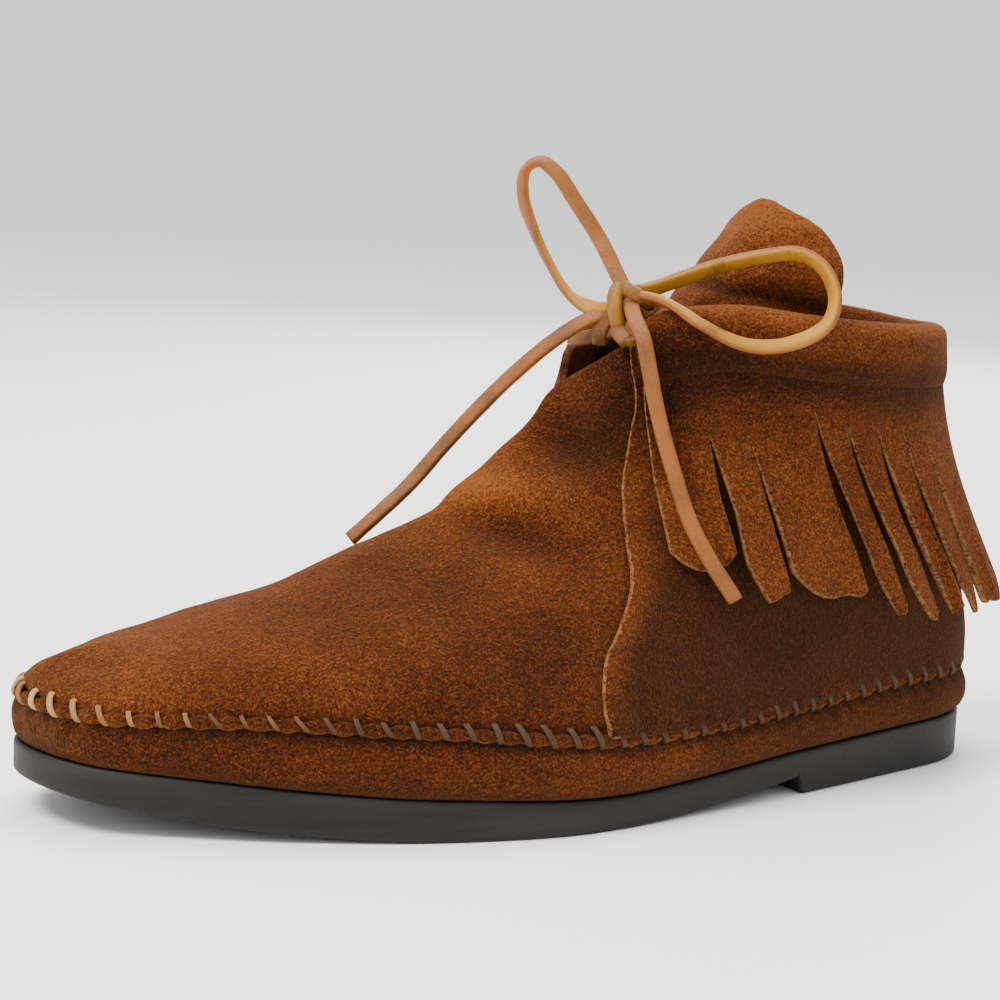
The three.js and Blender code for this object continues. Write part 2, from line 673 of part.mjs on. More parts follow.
function hangOff(drop) {
  return CUFF_DEPTH * through(hangCurve, drop / FRINGE_LENGTH);
}

// Cuff and band as one section carried round the rim
function makeCuff() {
  const roll = CUFF.map((row) => ({ off: row.out * CUFF_DEPTH, drop: -row.rise * CUFF_HEIGHT }));
  const drops = [0.86 * CUFF_HEIGHT, BAND_DROP - BAND_LAP, BAND_DROP];
  const down = drops.map((drop) => ({ off: hangOff(drop) + FRINGE_WALL, drop }));
  const back = drops.map((drop) => ({ off: hangOff(drop), drop })).reverse();
  const profile = [...roll, ...down, ...back];
  const count = CUFF_TO - CUFF_FROM;
  const positions = [];
  const triangles = [];
  for (let i = 0; i <= count; i += 1) {
    for (const row of profile) positions.push(...besideRim(CUFF_FROM + i, row.drop, row.off).toArray());
  }
  const size = profile.length;
  for (let i = 0; i < count; i += 1) {
    for (let j = 0; j < size; j += 1) {
      const [a, b] = [i * size + j, i * size + ((j + 1) % size)];
      triangles.push(a, b, b + size, a, b + size, a + size);
    }
  }
  const flat = profile.map((row) => new THREE.Vector2(row.off, -row.drop));
  const turned = THREE.ShapeUtils.isClockWise(flat) ? -1 : 1;
  const end = count * size;
  for (const face of THREE.ShapeUtils.triangulateShape(flat, [])) {
    const [a, b, c] = face;
    const sign = THREE.ShapeUtils.area([flat[a], flat[b], flat[c]]) * turned;
    const [p, q] = sign > 0 ? [b, c] : [c, b];
    triangles.push(a, q, p);
    triangles.push(a + end, p + end, q + end);
  }
  return solid(positions, triangles);
}

// One strip of the fringe, from inside the band down to its slanted tip
function makeStrip(row) {
  const wide = 2;
  const tall = STRIP_STEPS;
  const total = CUFF_TO - CUFF_FROM;
  const start = BAND_DROP - BAND_LAP;
  const end = FRINGE_LENGTH * row.length;
  const point = (i, j) => {
    const down = j / tall;
    const side = i / wide;
    const round = 0.1 * down ** 6 * (2 * side - 1) ** 2;
    const drop = start + (end - start) * down * (1 - round);
    const narrow = CUT + TAPER * down;
    const along = row.from + narrow + (row.to - row.from - 2 * narrow) * side + row.lean * down ** 1.3;
    const lift = row.lift * down * down * FRINGE_WALL;
    return besideRim(CUFF_FROM + clamp(along, 0, 1) * total, drop, hangOff(drop) + FRINGE_WALL / 2 + lift);
  };
  const grid = steps(wide, 0, wide).map((i) => steps(tall, 0, tall).map((j) => point(i, j)));
  return sheetSolid(grid, FRINGE_WALL * 0.9);
}

function makeCollarFringe() {
  let body = makeCuff();
  for (const row of STRIPS) body = body.add(makeStrip(row));
  return body;
}

// Thong along a smooth line through chosen points
function thong(points) {
  const line = new THREE.CatmullRomCurve3(points.map((p) => vec(...p)), false, 'centripetal');
  const section = new THREE.Shape();
  section.absarc(0, 0, LACE_RADIUS, 0, 2 * Math.PI, false);
  const ring = new THREE.Shape(section.getPoints(4).slice(0, 8));
  const geometry = new THREE.ExtrudeGeometry(ring, {
    steps: Math.ceil(line.getLength() / (5 * LACE_RADIUS)),
    extrudePath: line,
    bevelEnabled: false,
  });
  return fromGeometry(geometry);
}

// Knot: a pressed ball of wraps over the crossing
function makeKnot() {
  const geometry = new THREE.SphereGeometry(1, 12, 8);
  geometry.scale(...KNOT_SIZE.map((size) => size / 2));
  geometry.translate(...KNOT_PLACE);
  return fromGeometry(geometry);
}

const group = new THREE.Group();

function addPiece(name, body, color, roughness) {
  const material = new THREE.MeshStandardMaterial({ color, roughness, metalness: 0 });
  const mesh = new THREE.Mesh(toGeometry(body), material);
  mesh.name = name;
  group.add(mesh);
  return mesh;
}

const SUEDE = 0x8a431c;
const RAWHIDE = 0xc17f42;
const body = [
  addPiece('outsole', makeOutsole(), 0x3c3a3a, 0.7),
  addPiece('insole', makeInsole(), 0x6b4a30, 0.9),
  addPiece('upper', shell(0, -WALL), SUEDE, 0.95),
  addPiece('quarter', makeQuarter(), SUEDE, 0.95),
  addPiece('tongue', makeTongue(), SUEDE, 0.95),
  addPiece('collar_fringe', makeCollarFringe(), SUEDE, 0.95),
];
addPiece('lace_bar', thong(BAR_ROUTE), RAWHIDE, 0.6);
addPiece('lace_knot', makeKnot(), RAWHIDE, 0.6);
addPiece('lace_loop_outer', thong(OUTER_LOOP_ROUTE), RAWHIDE, 0.6);
addPiece('lace_loop_inner', thong(INNER_LOOP_ROUTE), RAWHIDE, 0.6);
addPiece('lace_end_outer', thong(OUTER_END_ROUTE), RAWHIDE, 0.6);
addPiece('lace_end_inner', thong(INNER_END_ROUTE), RAWHIDE, 0.6);

// The origin is under the middle of the boot itself, on the ground
const bounds = new THREE.Box3();
for (const mesh of body) bounds.union(new THREE.Box3().setFromObject(mesh));
const middle = bounds.getCenter(vec(0, 0, 0));
group.position.set(-middle.x, -middle.y, -bounds.min.z);

export default group;
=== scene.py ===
"""Looks of the left moccasin boot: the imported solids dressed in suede, rubber and rawhide.

Lengths are metres in the row's frame: toe along +X, outer side +Y, up +Z. The boot's own
measures start at the back of the heel, and its tables hold shares of the named sizes.
"""

import logging
import math
from dataclasses import dataclass, field
from enum import Enum

import bmesh
import bpy
import numpy as np
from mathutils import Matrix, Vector

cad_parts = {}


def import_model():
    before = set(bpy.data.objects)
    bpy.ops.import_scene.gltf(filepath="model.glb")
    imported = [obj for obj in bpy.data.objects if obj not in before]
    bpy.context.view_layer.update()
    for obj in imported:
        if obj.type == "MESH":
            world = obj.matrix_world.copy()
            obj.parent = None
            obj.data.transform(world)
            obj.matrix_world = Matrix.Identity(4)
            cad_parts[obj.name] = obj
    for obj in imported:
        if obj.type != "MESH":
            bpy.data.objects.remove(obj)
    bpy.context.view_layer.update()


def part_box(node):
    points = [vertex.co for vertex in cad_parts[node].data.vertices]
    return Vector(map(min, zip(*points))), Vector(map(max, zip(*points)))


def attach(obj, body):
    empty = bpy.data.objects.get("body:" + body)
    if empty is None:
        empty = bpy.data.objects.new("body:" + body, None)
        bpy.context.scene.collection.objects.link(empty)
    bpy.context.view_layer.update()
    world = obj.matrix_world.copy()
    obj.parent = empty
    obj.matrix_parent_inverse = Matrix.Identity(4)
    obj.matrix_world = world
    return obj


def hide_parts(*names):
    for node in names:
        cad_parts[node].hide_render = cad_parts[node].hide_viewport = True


log = logging.getLogger("moccasin_boot")
Array = np.ndarray
Colour = tuple[float, float, float]
Point = tuple[float, float, float]

TURN = 2 * math.pi
# Least value of the attribute edge along a sheet's rounded border.
BORDER_EDGE = 0.25


def unit(vectors: Array) -> Array:
    """Vectors scaled to length one."""
    return vectors / np.maximum(np.linalg.norm(vectors, axis=-1, keepdims=True), 1e-12)


def ease(value: Array) -> Array:
    """Smooth step: 0 below 0, 1 above 1, and s squared times (3 - 2 s) between them."""
    share = np.clip(value, 0, 1)
    return share * share * (3 - 2 * share)


def hump(distance: Array, width: float) -> Array:
    """Bell of height one: e to the minus (distance / width) squared."""
    return np.exp(-((distance / width) ** 2))


def smooth_curve(knots: Array, values: Array, at: Array) -> Array:
    """Cubic through knots, with each slope weighted from its two neighbouring secants.

    Args:
        knots: places of the knots, rising.
        values: value at each knot.
        at: places to read, held between the first knot and the last.

    Returns:
        The curve's value at each place.
    """
    secant = np.diff(values) / np.diff(knots)
    share = (knots[1:-1] - knots[:-2]) / (knots[2:] - knots[:-2])
    inner = secant[:-1] * (1 - share) + secant[1:] * share
    slope = np.concatenate([secant[:1], inner, secant[-1:]])
    place = np.clip(at, knots[0], knots[-1])
    k = np.clip(np.searchsorted(knots, place) - 1, 0, len(knots) - 2)
    step = knots[k + 1] - knots[k]
    s = (place - knots[k]) / step
    h = s * s * (3 - 2 * s)
    rise = s * (1 - s) ** 2 * slope[k] - s * s * (1 - s) * slope[k + 1]
    return values[k] * (1 - h) + values[k + 1] * h + rise * step


def soft_noise(points: Array, size: float, seed: int, waves: int = 18) -> Array:
    """Smooth random field from -1 to 1: the mean of sine waves in random directions.

    Args:
        points: places, last axis x, y, z.
        size: length of a typical wave.
        seed: seed of the directions and phases.
        waves: number of waves summed.

    Returns:
        One value for each place.
    """
    rng = np.random.default_rng(seed)
    pull = unit(rng.normal(size=(waves, 3))) * (TURN / size) * rng.uniform(0.6, 1.6, (waves, 1))
    phase = rng.uniform(0, TURN, waves)
    return np.sin(points @ pull.T + phase).mean(axis=-1) * math.sqrt(waves / 4)


def lumps(points: Array, seed: int, *layers: tuple[float, float]) -> Array:
    """Sum of soft noises, one for each layer, their seeds counting up.

    Args:
        points: places, last axis x, y, z.
        seed: seed of the first layer.
        layers: pairs of a wave's length and its height.

    Returns:
        One height for each place.
    """
    return sum(soft_noise(points, size, seed + k) * height for k, (size, height) in enumerate(layers))


class Table:
    """Short table of knots: the first column is the key, the others are read over it."""

    def __init__(self, names: str, rows: list[tuple[float, ...]]) -> None:
        """Sort the rows by their key.

        Args:
            names: column names, parted by blanks, the key first.
            rows: one tuple of values for each knot.
        """
        values = np.array(sorted(rows), float)
        self.names = names.split()
        self.columns = dict(zip(self.names, values.T))

    def read(self, name: str, at: Array) -> Array:
        """Value of a column at places of the key, as a smooth curve."""
        return smooth_curve(self.columns[self.names[0]], self.columns[name], np.asarray(at, float))


# Outline of the sole: y of both sides in ball widths, at shares of the length from the heel.
PLAN = Table("at outer inner", [
    (0.06, 0.226, -0.224),
    (0.14, 0.292, -0.288),
    (0.28, 0.39, -0.318),
    (0.42, 0.473, -0.33),
    (0.56, 0.527, -0.378),
    (0.68, 0.478, -0.447),
    (0.8, 0.364, -0.452),
    (0.9, 0.236, -0.383),
    (0.96, 0.143, -0.296),
])
# Top of the sole in sole thicknesses at shares of the length, without the toe spring.
SEAT = Table("at top", [(0, 1.27), (0.28, 1.11), (0.5, 0.8), (0.7, 0.99), (0.85, 1.01), (1, 0.76)])
# Sidewall at shares of the length: height in wrap heights, bulge in wrap bulges.
WRAP = Table("at height bulge", [
    (0, 0.9, 1),
    (0.15, 0.9, 1),
    (0.3, 0.82, 0.8),
    (0.42, 0.9, 0.6),
    (0.54, 1.02, 0.5),
    (0.68, 1.16, 0.5),
    (0.85, 1.05, 0.6),
    (0.94, 0.85, 0.4),
    (1, 0.78, 0.3),
])
# Curve of the sidewall: its swell at shares of its height.
WRAP_SIDE = Table("rise swell", [(0, 0), (0.1, 0.55), (0.28, 0.9), (0.5, 1), (0.7, 0.88), (0.9, 0.4), (1, 0)])
# Ridge of the vamp: height in collar heights at shares of the length.
RIDGE = Table("at height", [
    (0.95, 0.362),
    (0.888, 0.377),
    (0.83, 0.409),
    (0.79, 0.437),
    (0.753, 0.463),
    (0.715, 0.5),
    (0.688, 0.532),
    (0.65, 0.575),
    (0.618, 0.604),
    (0.577, 0.646),
    (0.546, 0.706),
    (0.506, 0.826),
    (0.484, 0.873),
])
# Rim from throat to heel: x in lengths, half widths in ball widths, heights in collar heights.
COLLAR = Table("at x outer inner high low", [
    (0, 0.484, 0, 0, 0.873, 0.873),
    (0.08, 0.466, 0.085, 0.08, 0.925, 0.925),
    (0.2, 0.426, 0.178, 0.168, 0.995, 0.957),
    (0.35, 0.357, 0.25, 0.24, 1.022, 0.975),
    (0.5, 0.279, 0.294, 0.28, 1.008, 1),
    (0.65, 0.196, 0.301, 0.285, 0.992, 1.01),
    (0.78, 0.138, 0.25, 0.24, 0.983, 1),
    (0.9, 0.096, 0.145, 0.14, 0.978, 0.985),
    (1, 0.083, 0, 0, 0.976, 0.976),
])
# Sections from toe to heel: fall at the top in degrees, lean, and both handles in reaches.
SECTIONS = Table("at fall lean top foot", [
    (0, 2, 0.3, 0.42, 0.3),
    (0.12, 4, 0.3, 0.36, 0.32),
    (0.25, 10, 0.3, 0.3, 0.34),
    (0.36, 20, 0.25, 0.26, 0.36),
    (0.45, 34, 0.22, 0.22, 0.38),
    (0.5, 50, 0.2, 0.2, 0.38),
    (0.56, 72, 0.16, 0.22, 0.36),
    (0.65, 86, 0.1, 0.3, 0.34),
    (0.85, 88, 0.02, 0.34, 0.3),
    (1, 86, -0.04, 0.34, 0.3),
])
# Front edge of the quarter: x in lengths at heights in collar heights.
QUARTER_EDGE = Table("height x", [
    (0.93, 0.442),
    (0.854, 0.44),
    (0.751, 0.452),
    (0.652, 0.467),
    (0.556, 0.475),
    (0.479, 0.481),
    (0.405, 0.501),
    (0.35, 0.521),
    (0.274, 0.53),
    (0.192, 0.529),
    (0.1, 0.528),
])
# Tongue from root to tip: x and sweep in lengths, height and droop in collar heights, width in
# ball widths.
TONGUE = Table("at x height width sweep droop", [
    (0, 0.492, 0.722, 0.1, 0.012, 0.045),
    (0.12, 0.459, 0.78, 0.11, 0.018, 0.045),
    (0.25, 0.43, 0.875, 0.12, 0.036, 0.04),
    (0.38, 0.397, 0.965, 0.145, 0.075, 0.03),
    (0.52, 0.357, 1.05, 0.19, 0.12, 0.02),
    (0.65, 0.325, 1.12, 0.215, 0.1, 0.015),
    (0.78, 0.298, 1.185, 0.2, 0.07, 0.01),
    (0.91, 0.275, 1.245, 0.145, 0.03, 0.012),
    (1, 0.26, 1.272, 0.05, 0.006, 0.022),
])
# Profile of the rolled cuff: out in cuff depths, up in cuff heights, once round.
CUFF = [
    (0.42, -0.7),
    (0.42, 0.03),
    (-0.42, 0.03),
    (-0.42, -0.24),
    (-0.72, -0.24),
    (-0.76, 0.04),
    (-0.42, 0.2),
    (0.15, 0.25),
    (0.7, 0.17),
    (0.98, -0.06),
    (1, -0.36),
    (0.88, -0.58),
    (0.62, -0.72),
]
# Fringe off the leather in cuff depths, at shares of its full length.
HANG = Table("drop off", [(0.15, 0.44), (0.3, 0.5), (0.5, 0.7), (0.75, 1.15), (1, 1.7)])


@dataclass(frozen=True)
class Last:
    """Sizes of the form that every leather piece follows, and the functions of its surface.

    Steps run round the boot: 0 at the toe, 18 at the throat on the outer side, 36 at the
    heel, 54 at the throat on the inner side, and 72 at the toe again.
    """

    length: float = 0.25
    ball_width: float = 0.093
    sole_thickness: float = 0.0095
    toe_spring: float = 0.0092
    arch_rise: float = 0.0044
    wrap_height: float = 0.012
    wrap_bulge: float = 0.0016
    seam_height: float = 0.0016
    collar_height: float = 0.11
    margin: float = 0.008
    foot_inset: float = 0.001
    gap: float = 0.0003
    steps: int = 72
    throat: int = 18
    halvings: int = 22
    toe_offset: float = -0.086
    heel_share: float = 0.279
    arch_share: float = 0.5
    spring_share: float = 0.66
    spine_start: float = 0.03
    spine_end: float = 0.035
    origin: tuple[float, float] = (0.0, 0.0)

    def placed(self, x: Array, y: Array, z: Array) -> Array:
        """Points from the boot's own measures, moved into the row's frame."""
        return np.stack(np.broadcast_arrays(x - self.origin[0], y - self.origin[1], z), axis=-1)

    def own(self, points: Array) -> Array:
        """Points of the row's frame in the boot's own measures."""
        return points + [self.origin[0], self.origin[1], 0]

    def plan(self, angle: Array) -> tuple[Array, Array]:
        """Outline of the sole: x is half the length times (1 + cos angle), y is read from PLAN.

        Args:
            angle: angles round the outline, 0 at the toe, positive on the outer side.

        Returns:
            The outline's x and y in own measures.
        """
        share = PLAN.columns["at"]
        outer = np.arccos(2 * share - 1)
        past_heel = [TURN - outer[0], outer[0] - TURN]
        knots = np.concatenate([outer, -outer, [0, math.pi, -math.pi], past_heel])
        sides = [PLAN.columns["outer"], PLAN.columns["inner"], [self.toe_offset, 0, 0]]
        ends = [PLAN.columns["inner"][0], PLAN.columns["outer"][0]]
        values = np.concatenate([*sides, ends])
        order = np.argsort(knots)
        y = self.ball_width * smooth_curve(knots[order], values[order], angle)
        return self.length * (1 + np.cos(angle)) / 2, y

    def share_at(self, angle: Array) -> Array:
        """Share of the sole's length at an angle of its outline, 0 at the heel."""
        turned = np.where(angle > math.pi, angle - TURN, angle)
        return np.clip(self.plan(turned)[0] / self.length, 0, 1)

    def spine(self, x: Array) -> tuple[Array, Array]:
        """Middle line of the sole, which ends before the heel and the toe do.

        Args:
            x: places along the boot.

        Returns:
            The nearest x on the middle line, and its y.
        """
        near = np.clip(x, self.spine_start, self.length - self.spine_end)
        both = PLAN.read("outer", near / self.length) + PLAN.read("inner", near / self.length)
        return near, self.ball_width * both / 2

    def beside_plan(self, angle: Array, out: Array) -> tuple[Array, Array]:
        """Point beside the outline, out by a distance square to it.

        Args:
            angle: angles round the outline.
            out: distances outwards.

        Returns:
            The points' x and y in own measures.
        """
        small = 0.02
        turned = np.where(angle > math.pi, angle - TURN, angle)
        x, y = self.plan(turned)
        ahead = np.stack(self.plan(turned + small), axis=-1)
        behind = np.stack(self.plan(turned - small), axis=-1)
        along = unit(ahead - behind)
        return x + along[..., 1] * out, y - along[..., 0] * out

    def spring(self, share: Array) -> Array:
        """Lift of the toe: toe spring times the square of the share past the ball."""
        rise = np.clip((share - self.spring_share) / (1 - self.spring_share), 0, 1.1)
        return self.toe_spring * rise**2

    def arch(self, share: Array) -> Array:
        """Lift under the waist: arch rise times the 1.5th power of the share towards the heel."""
        rise = np.clip((self.arch_share - share) / (self.arch_share - self.heel_share), 0, 1)
        return self.arch_rise * rise**1.5

    def seat(self, share: Array) -> Array:
        """Top of the sole above the ground."""
        return self.sole_thickness * SEAT.read("top", share) + self.spring(share)

    def angle(self, step: Array) -> Array:
        """Angle of a loop step round the outline."""
        return TURN * np.mod(step, self.steps) / self.steps

    def half(self, step: Array) -> Array:
        """Steps from the toe along the nearer side."""
        turned = np.mod(step, self.steps)
        return np.minimum(turned, self.steps - turned)

    def wrap_point(self, step: Array, rise: Array, out: float = 0.0) -> Array:
        """Sidewall: out by foot inset and swell times the side's curve, up by a share of its height.

        Args:
            step: loop steps, whole or not.
            rise: shares of the wall's height.
            out: extra distance outwards.

        Returns:
            Points in the row's frame.
        """
        angle = self.angle(step)
        share = self.share_at(angle)
        swell = self.foot_inset + self.wrap_bulge * WRAP.read("bulge", share)
        x, y = self.beside_plan(angle, swell * WRAP_SIDE.read("swell", rise) - self.foot_inset + out)
        z = self.seat(share) + self.gap + self.wrap_height * WRAP.read("height", share) * rise
        return self.placed(x, y, z)

    def margin_point(self, step: Array, inward: Array) -> Array:
        """Turned-in edge that lies on the seat, in from the outline."""
        x, y = self.beside_plan(self.angle(step), -self.foot_inset - inward)
        return self.placed(x, y, self.seat(x / self.length) + self.gap)

    def ridge(self, step: Array) -> Array:
        """Ridge of the vamp, its steps denser towards the toe.

        Args:
            step: steps from the toe, up to the throat.

        Returns:
            Points in own measures.
        """
        first, last = RIDGE.columns["at"][-1], RIDGE.columns["at"][0]
        along = step / self.throat
        share = first + (last - first) * (0.45 * along + 0.55 * along**2)
        side = np.clip((share - last) / (1 - last), 0, 1)
        y = self.ball_width * self.toe_offset * side
        z = self.collar_height * RIDGE.read("height", share)
        return np.stack([self.length * share, y, z], axis=-1)

    def rim(self, step: Array) -> Array:
        """Rim of the opening, past the throat.

        Args:
            step: loop steps between the two throats.

        Returns:
            Points in own measures.
        """
        half = self.half(step)
        share = np.clip((half - self.throat) / (self.steps / 2 - self.throat), 0, 1)
        outer = np.mod(step, self.steps) <= self.steps / 2
        x = self.length * COLLAR.read("x", share)
        y = self.ball_width * np.where(outer, COLLAR.read("outer", share), -COLLAR.read("inner", share))
        z = self.collar_height * np.where(outer, COLLAR.read("high", share), COLLAR.read("low", share))
        return np.stack([x, y, z], axis=-1)

    def section(self, step: Array) -> tuple[Array, Array, Array, Array]:
        """Four control points of the section's Bezier curve, from the whipped seam to the top.

        Args:
            step: loop steps, whole or not.

        Returns:
            Start over the seam, two handles and the end on the ridge or rim, in own measures.
        """
        angle = self.angle(step)
        half = self.half(step)
        share = self.share_at(angle)
        x, y = self.beside_plan(angle, -self.foot_inset)
        foot = self.seat(share) + self.gap + self.wrap_height * WRAP.read("height", share)
        start = np.stack([x, y, foot + self.seam_height], axis=-1)
        vamp = half <= self.throat
        top = np.where(vamp[..., None], self.ridge(np.minimum(half, self.throat)), self.rim(step))
        reach = np.linalg.norm(top - start, axis=-1, keepdims=True)
        flat = unit((start - top) * [1, 1, 0])
        ahead = self.ridge(np.clip(half - 0.5, 0, self.throat))
        behind = self.ridge(np.clip(half + 0.5, 0.5, self.throat))
        climb = (behind - ahead)[..., 2] / np.minimum((behind - ahead)[..., 0], -1e-6)
        slope = np.where(vamp, climb, climb * np.clip(self.throat + 1 - half, 0, 1))
        key = 2 * half / self.steps
        fall = np.radians(SECTIONS.read("fall", key))[..., None]
        level = unit(np.stack([flat[..., 0], flat[..., 1], slope * flat[..., 0]], axis=-1))
        leave = unit(level * np.cos(fall) - np.sin(fall) * [0, 0, 1])
        lift = unit(flat * -SECTIONS.read("lean", key)[..., None] + [0, 0, 1])
        first = start + lift * reach * SECTIONS.read("foot", key)[..., None]
        second = top + leave * reach * SECTIONS.read("top", key)[..., None]
        return start, first, second, top

    def side_point(self, step: Array, rise: Array) -> Array:
        """Upper above the seam: the section's cubic Bezier curve at a share of its run.

        Args:
            step: loop steps, whole or not.
            rise: shares of the run from the seam to the top.

        Returns:
            Points in the row's frame.
        """
        start, first, second, top = self.section(step)
        t = np.asarray(rise, float)[..., None]
        ends = start * (1 - t) ** 3 + top * t**3
        run = ends + 3 * first * t * (1 - t) ** 2 + 3 * second * t**2 * (1 - t)
        return self.placed(run[..., 0], run[..., 1], run[..., 2])

    def out_of_rim(self, step: Array) -> Array:
        """Level direction out of the opening, square to the rim."""
        along = unit((self.rim(step + 0.3) - self.rim(step - 0.3)) * [1, 1, 0])
        return np.stack([along[..., 1], -along[..., 0], np.zeros_like(along[..., 0])], axis=-1)

    def beside_rim(self, step: Array, drop: Array, off: Array) -> Array:
        """Place beside the upper at a drop below the rim, off the leather.

        The share of the section at that height is found by halving.

        Args:
            step: loop steps past the throat.
            drop: distance below the rim, negative above it.
            off: distance off the leather's surface, outwards.

        Returns:
            Points in the row's frame.
        """
        step, drop, off = np.broadcast_arrays(step, drop, off)
        rim = self.rim(step)[..., 2]
        goal = rim - np.maximum(drop, 0)
        low, high = np.zeros(step.shape), np.ones(step.shape)
        for _ in range(self.halvings):
            middle = (low + high) / 2
            below = self.side_point(step, middle)[..., 2] < goal
            low, high = np.where(below, middle, low), np.where(below, high, middle)
        base = self.side_point(step, (low + high) / 2)
        place = base + self.out_of_rim(step) * off[..., None]
        place[..., 2] = rim - drop
        return place


def grid_normals(points: Array, around: bool) -> Array:
    """Normals of a grid: the first axis's direction crossed with the second's.

    Args:
        points: grid of points, shape (m, n, 3).
        around: whether the first axis closes on itself.

    Returns:
        Unit normals of the same shape.
    """
    if around:
        first = np.roll(points, -1, axis=0) - np.roll(points, 1, axis=0)
    else:
        first = np.gradient(points, axis=0)
    return unit(np.cross(first, np.gradient(points, axis=1)))


def grid_faces(m: int, n: int, around: bool, start: int = 0, back: bool = False) -> Array:
    """Quads of a grid whose vertices are numbered row by row.

    Args:
        m: rows.
        n: vertices in a row.
        around: whether the last row meets the first.
        start: number of the first vertex.
        back: whether the faces look the other way.

    Returns:
        Vertex numbers, shape (faces, 4).
    """
    i = np.arange(m if around else m - 1)[:, None]
    j = np.arange(n - 1)[None, :]
    a, b = i * n + j, ((i + 1) % m) * n + j
    quads = np.stack([a, b, b + 1, a + 1], axis=-1).reshape(-1, 4) + start
    return quads[:, ::-1] if back else quads


def mesh_piece(
    name: str, vertices: Array, faces: list, values: dict[str, Array] | None = None
) -> bpy.types.Object:
    """Object with a smooth-shaded mesh and its point attributes.

    Args:
        name: the piece's name.
        vertices: points, shape (n, 3).
        faces: arrays of vertex numbers, one array for each number of corners.
        values: point attributes by name.

    Returns:
        The linked object, at the origin.
    """
    mesh = bpy.data.meshes.new(name)
    rows = [row for block in faces for row in np.asarray(block).tolist()]
    mesh.from_pydata(np.asarray(vertices, float).reshape(-1, 3).tolist(), [], rows)
    mesh.polygons.foreach_set("use_smooth", np.ones(len(mesh.polygons), bool))
    for key, data in (values or {}).items():
        layer = mesh.attributes.new(key, "FLOAT", "POINT")
        layer.data.foreach_set("value", np.asarray(data, np.float32).ravel())
    mesh.update()
    piece = bpy.data.objects.new(name, mesh)
    bpy.context.scene.collection.objects.link(piece)
    return piece


def grid_edge(m: int, n: int) -> Array:
    """Marks of a grid's borders.

    Args:
        m: rows.
        n: vertices in a row.

    Returns:
        1 on the outermost vertices and 0 inside, shape (m, n).
    """
    marks = np.zeros((m, n))
    marks[[0, -1]] = 1
    marks[:, [0, -1]] = 1
    return marks


def sheet_normals(vertices: Array, faces: Array) -> Array:
    """Vertex normals: the sum of the neighbouring quads' crossed diagonals.

    Args:
        vertices: points, shape (n, 3).
        faces: quads that join them.

    Returns:
        Unit normals, shape (n, 3).
    """
    a, b, c, d = (vertices[faces[:, k]] for k in range(4))
    cross = np.cross(c - a, d - b)
    total = np.zeros_like(vertices)
    for k in range(4):
        np.add.at(total, faces[:, k], cross)
    return unit(total)


def thick_piece(
    name: str, outer: Array, inner: Array, faces: Array, swell: float, values: dict[str, Array]
) -> bpy.types.Object:
    """Closed sheet between two faces of quads, its open borders rounded over.

    The border's middle line lies halfway between the faces and stands out by the swell.

    Args:
        name: the piece's name.
        outer: points of the outer face, shape (n, 3).
        inner: points of the inner face, of the same shape.
        faces: quads of the outer face, looking out.
        swell: how far the middle line stands out.
        values: attributes of the points by name, edge among them.

    Returns:
        The piece.
    """
    used, faces = np.unique(faces, return_inverse=True)
    faces = faces.reshape(-1, 4)
    outer, inner = outer[used], inner[used]
    n = len(outer)
    starts, ends = faces.ravel(), np.roll(faces, -1, axis=1).ravel()
    open_edge = ~np.isin(starts * n + ends, ends * n + starts)
    a, b = starts[open_edge], ends[open_edge]
    middle = (outer + inner) / 2
    away = np.zeros_like(outer)
    out = unit(outer - inner)
    side = np.cross(middle[b] - middle[a], out[a])
    np.add.at(away, a, side)
    np.add.at(away, b, side)
    border = np.unique(a)
    number = np.zeros(n, int)
    number[border] = 2 * n + np.arange(len(border))
    rim = middle[border] + unit(away[border]) * swell
    blocks = [faces, faces[:, ::-1] + n]
    blocks.append(np.stack([b, a, number[a], number[b]], -1))
    blocks.append(np.stack([number[b], number[a], a + n, b + n], -1))
    flat = {key: value.ravel()[used] for key, value in values.items()}
    data = {key: np.concatenate([value, value, value[border]]) for key, value in flat.items()}
    data["edge"][2 * n:] = np.maximum(data["edge"][2 * n:], BORDER_EDGE)
    return mesh_piece(name, np.concatenate([outer, inner, rim]), blocks, data)


def slab_piece(
    name: str,
    outer: Array,
    inner: Array,
    around: bool = False,
    swell: float = 0.0,
    values: dict[str, Array] | None = None,
) -> bpy.types.Object:
    """Closed sheet between two grids.

    Args:
        name: the piece's name.
        outer: grid of the outer face, shape (m, n, 3), its normals pointing out.
        inner: grid of the inner face, of the same shape.
        around: whether the first axis closes on itself.
        swell: how far the edge's middle line stands out.
        values: attributes of the grid by name, each of shape (m, n).

    Returns:
        The piece.
    """
    m, n = outer.shape[:2]
    data = {"edge": np.zeros((m, n)), **(values or {})}
    return thick_piece(
        name, outer.reshape(-1, 3), inner.reshape(-1, 3), grid_faces(m, n, around), swell, data
    )


def spline(points: list, count: int, closed: bool = False) -> Array:
    """Even steps along a smooth line through chosen points.

    Args:
        points: the points, each of any dimension.
        count: number of points returned.
        closed: whether the line comes back to its start.

    Returns:
        Points at even distances along the line.
    """
    knots = np.array(points, float)
    if closed:
        knots = np.concatenate([knots[-3:], knots, knots[:3]])
    runs = np.linalg.norm(np.diff(knots, axis=0), axis=1) ** 0.5
    at = np.concatenate([[0], np.cumsum(runs)])
    span = (at[3], at[-3]) if closed else (at[0], at[-1])
    fine = np.linspace(*span, 40 * len(knots))
    line = np.stack([smooth_curve(at, column, fine) for column in knots.T], axis=-1)
    length = np.concatenate([[0], np.cumsum(np.linalg.norm(np.diff(line, axis=0), axis=1))])
    wanted = np.linspace(0, length[-1], count + 1 if closed else count)[:count]
    return np.stack([np.interp(wanted, length, column) for column in line.T], axis=-1)


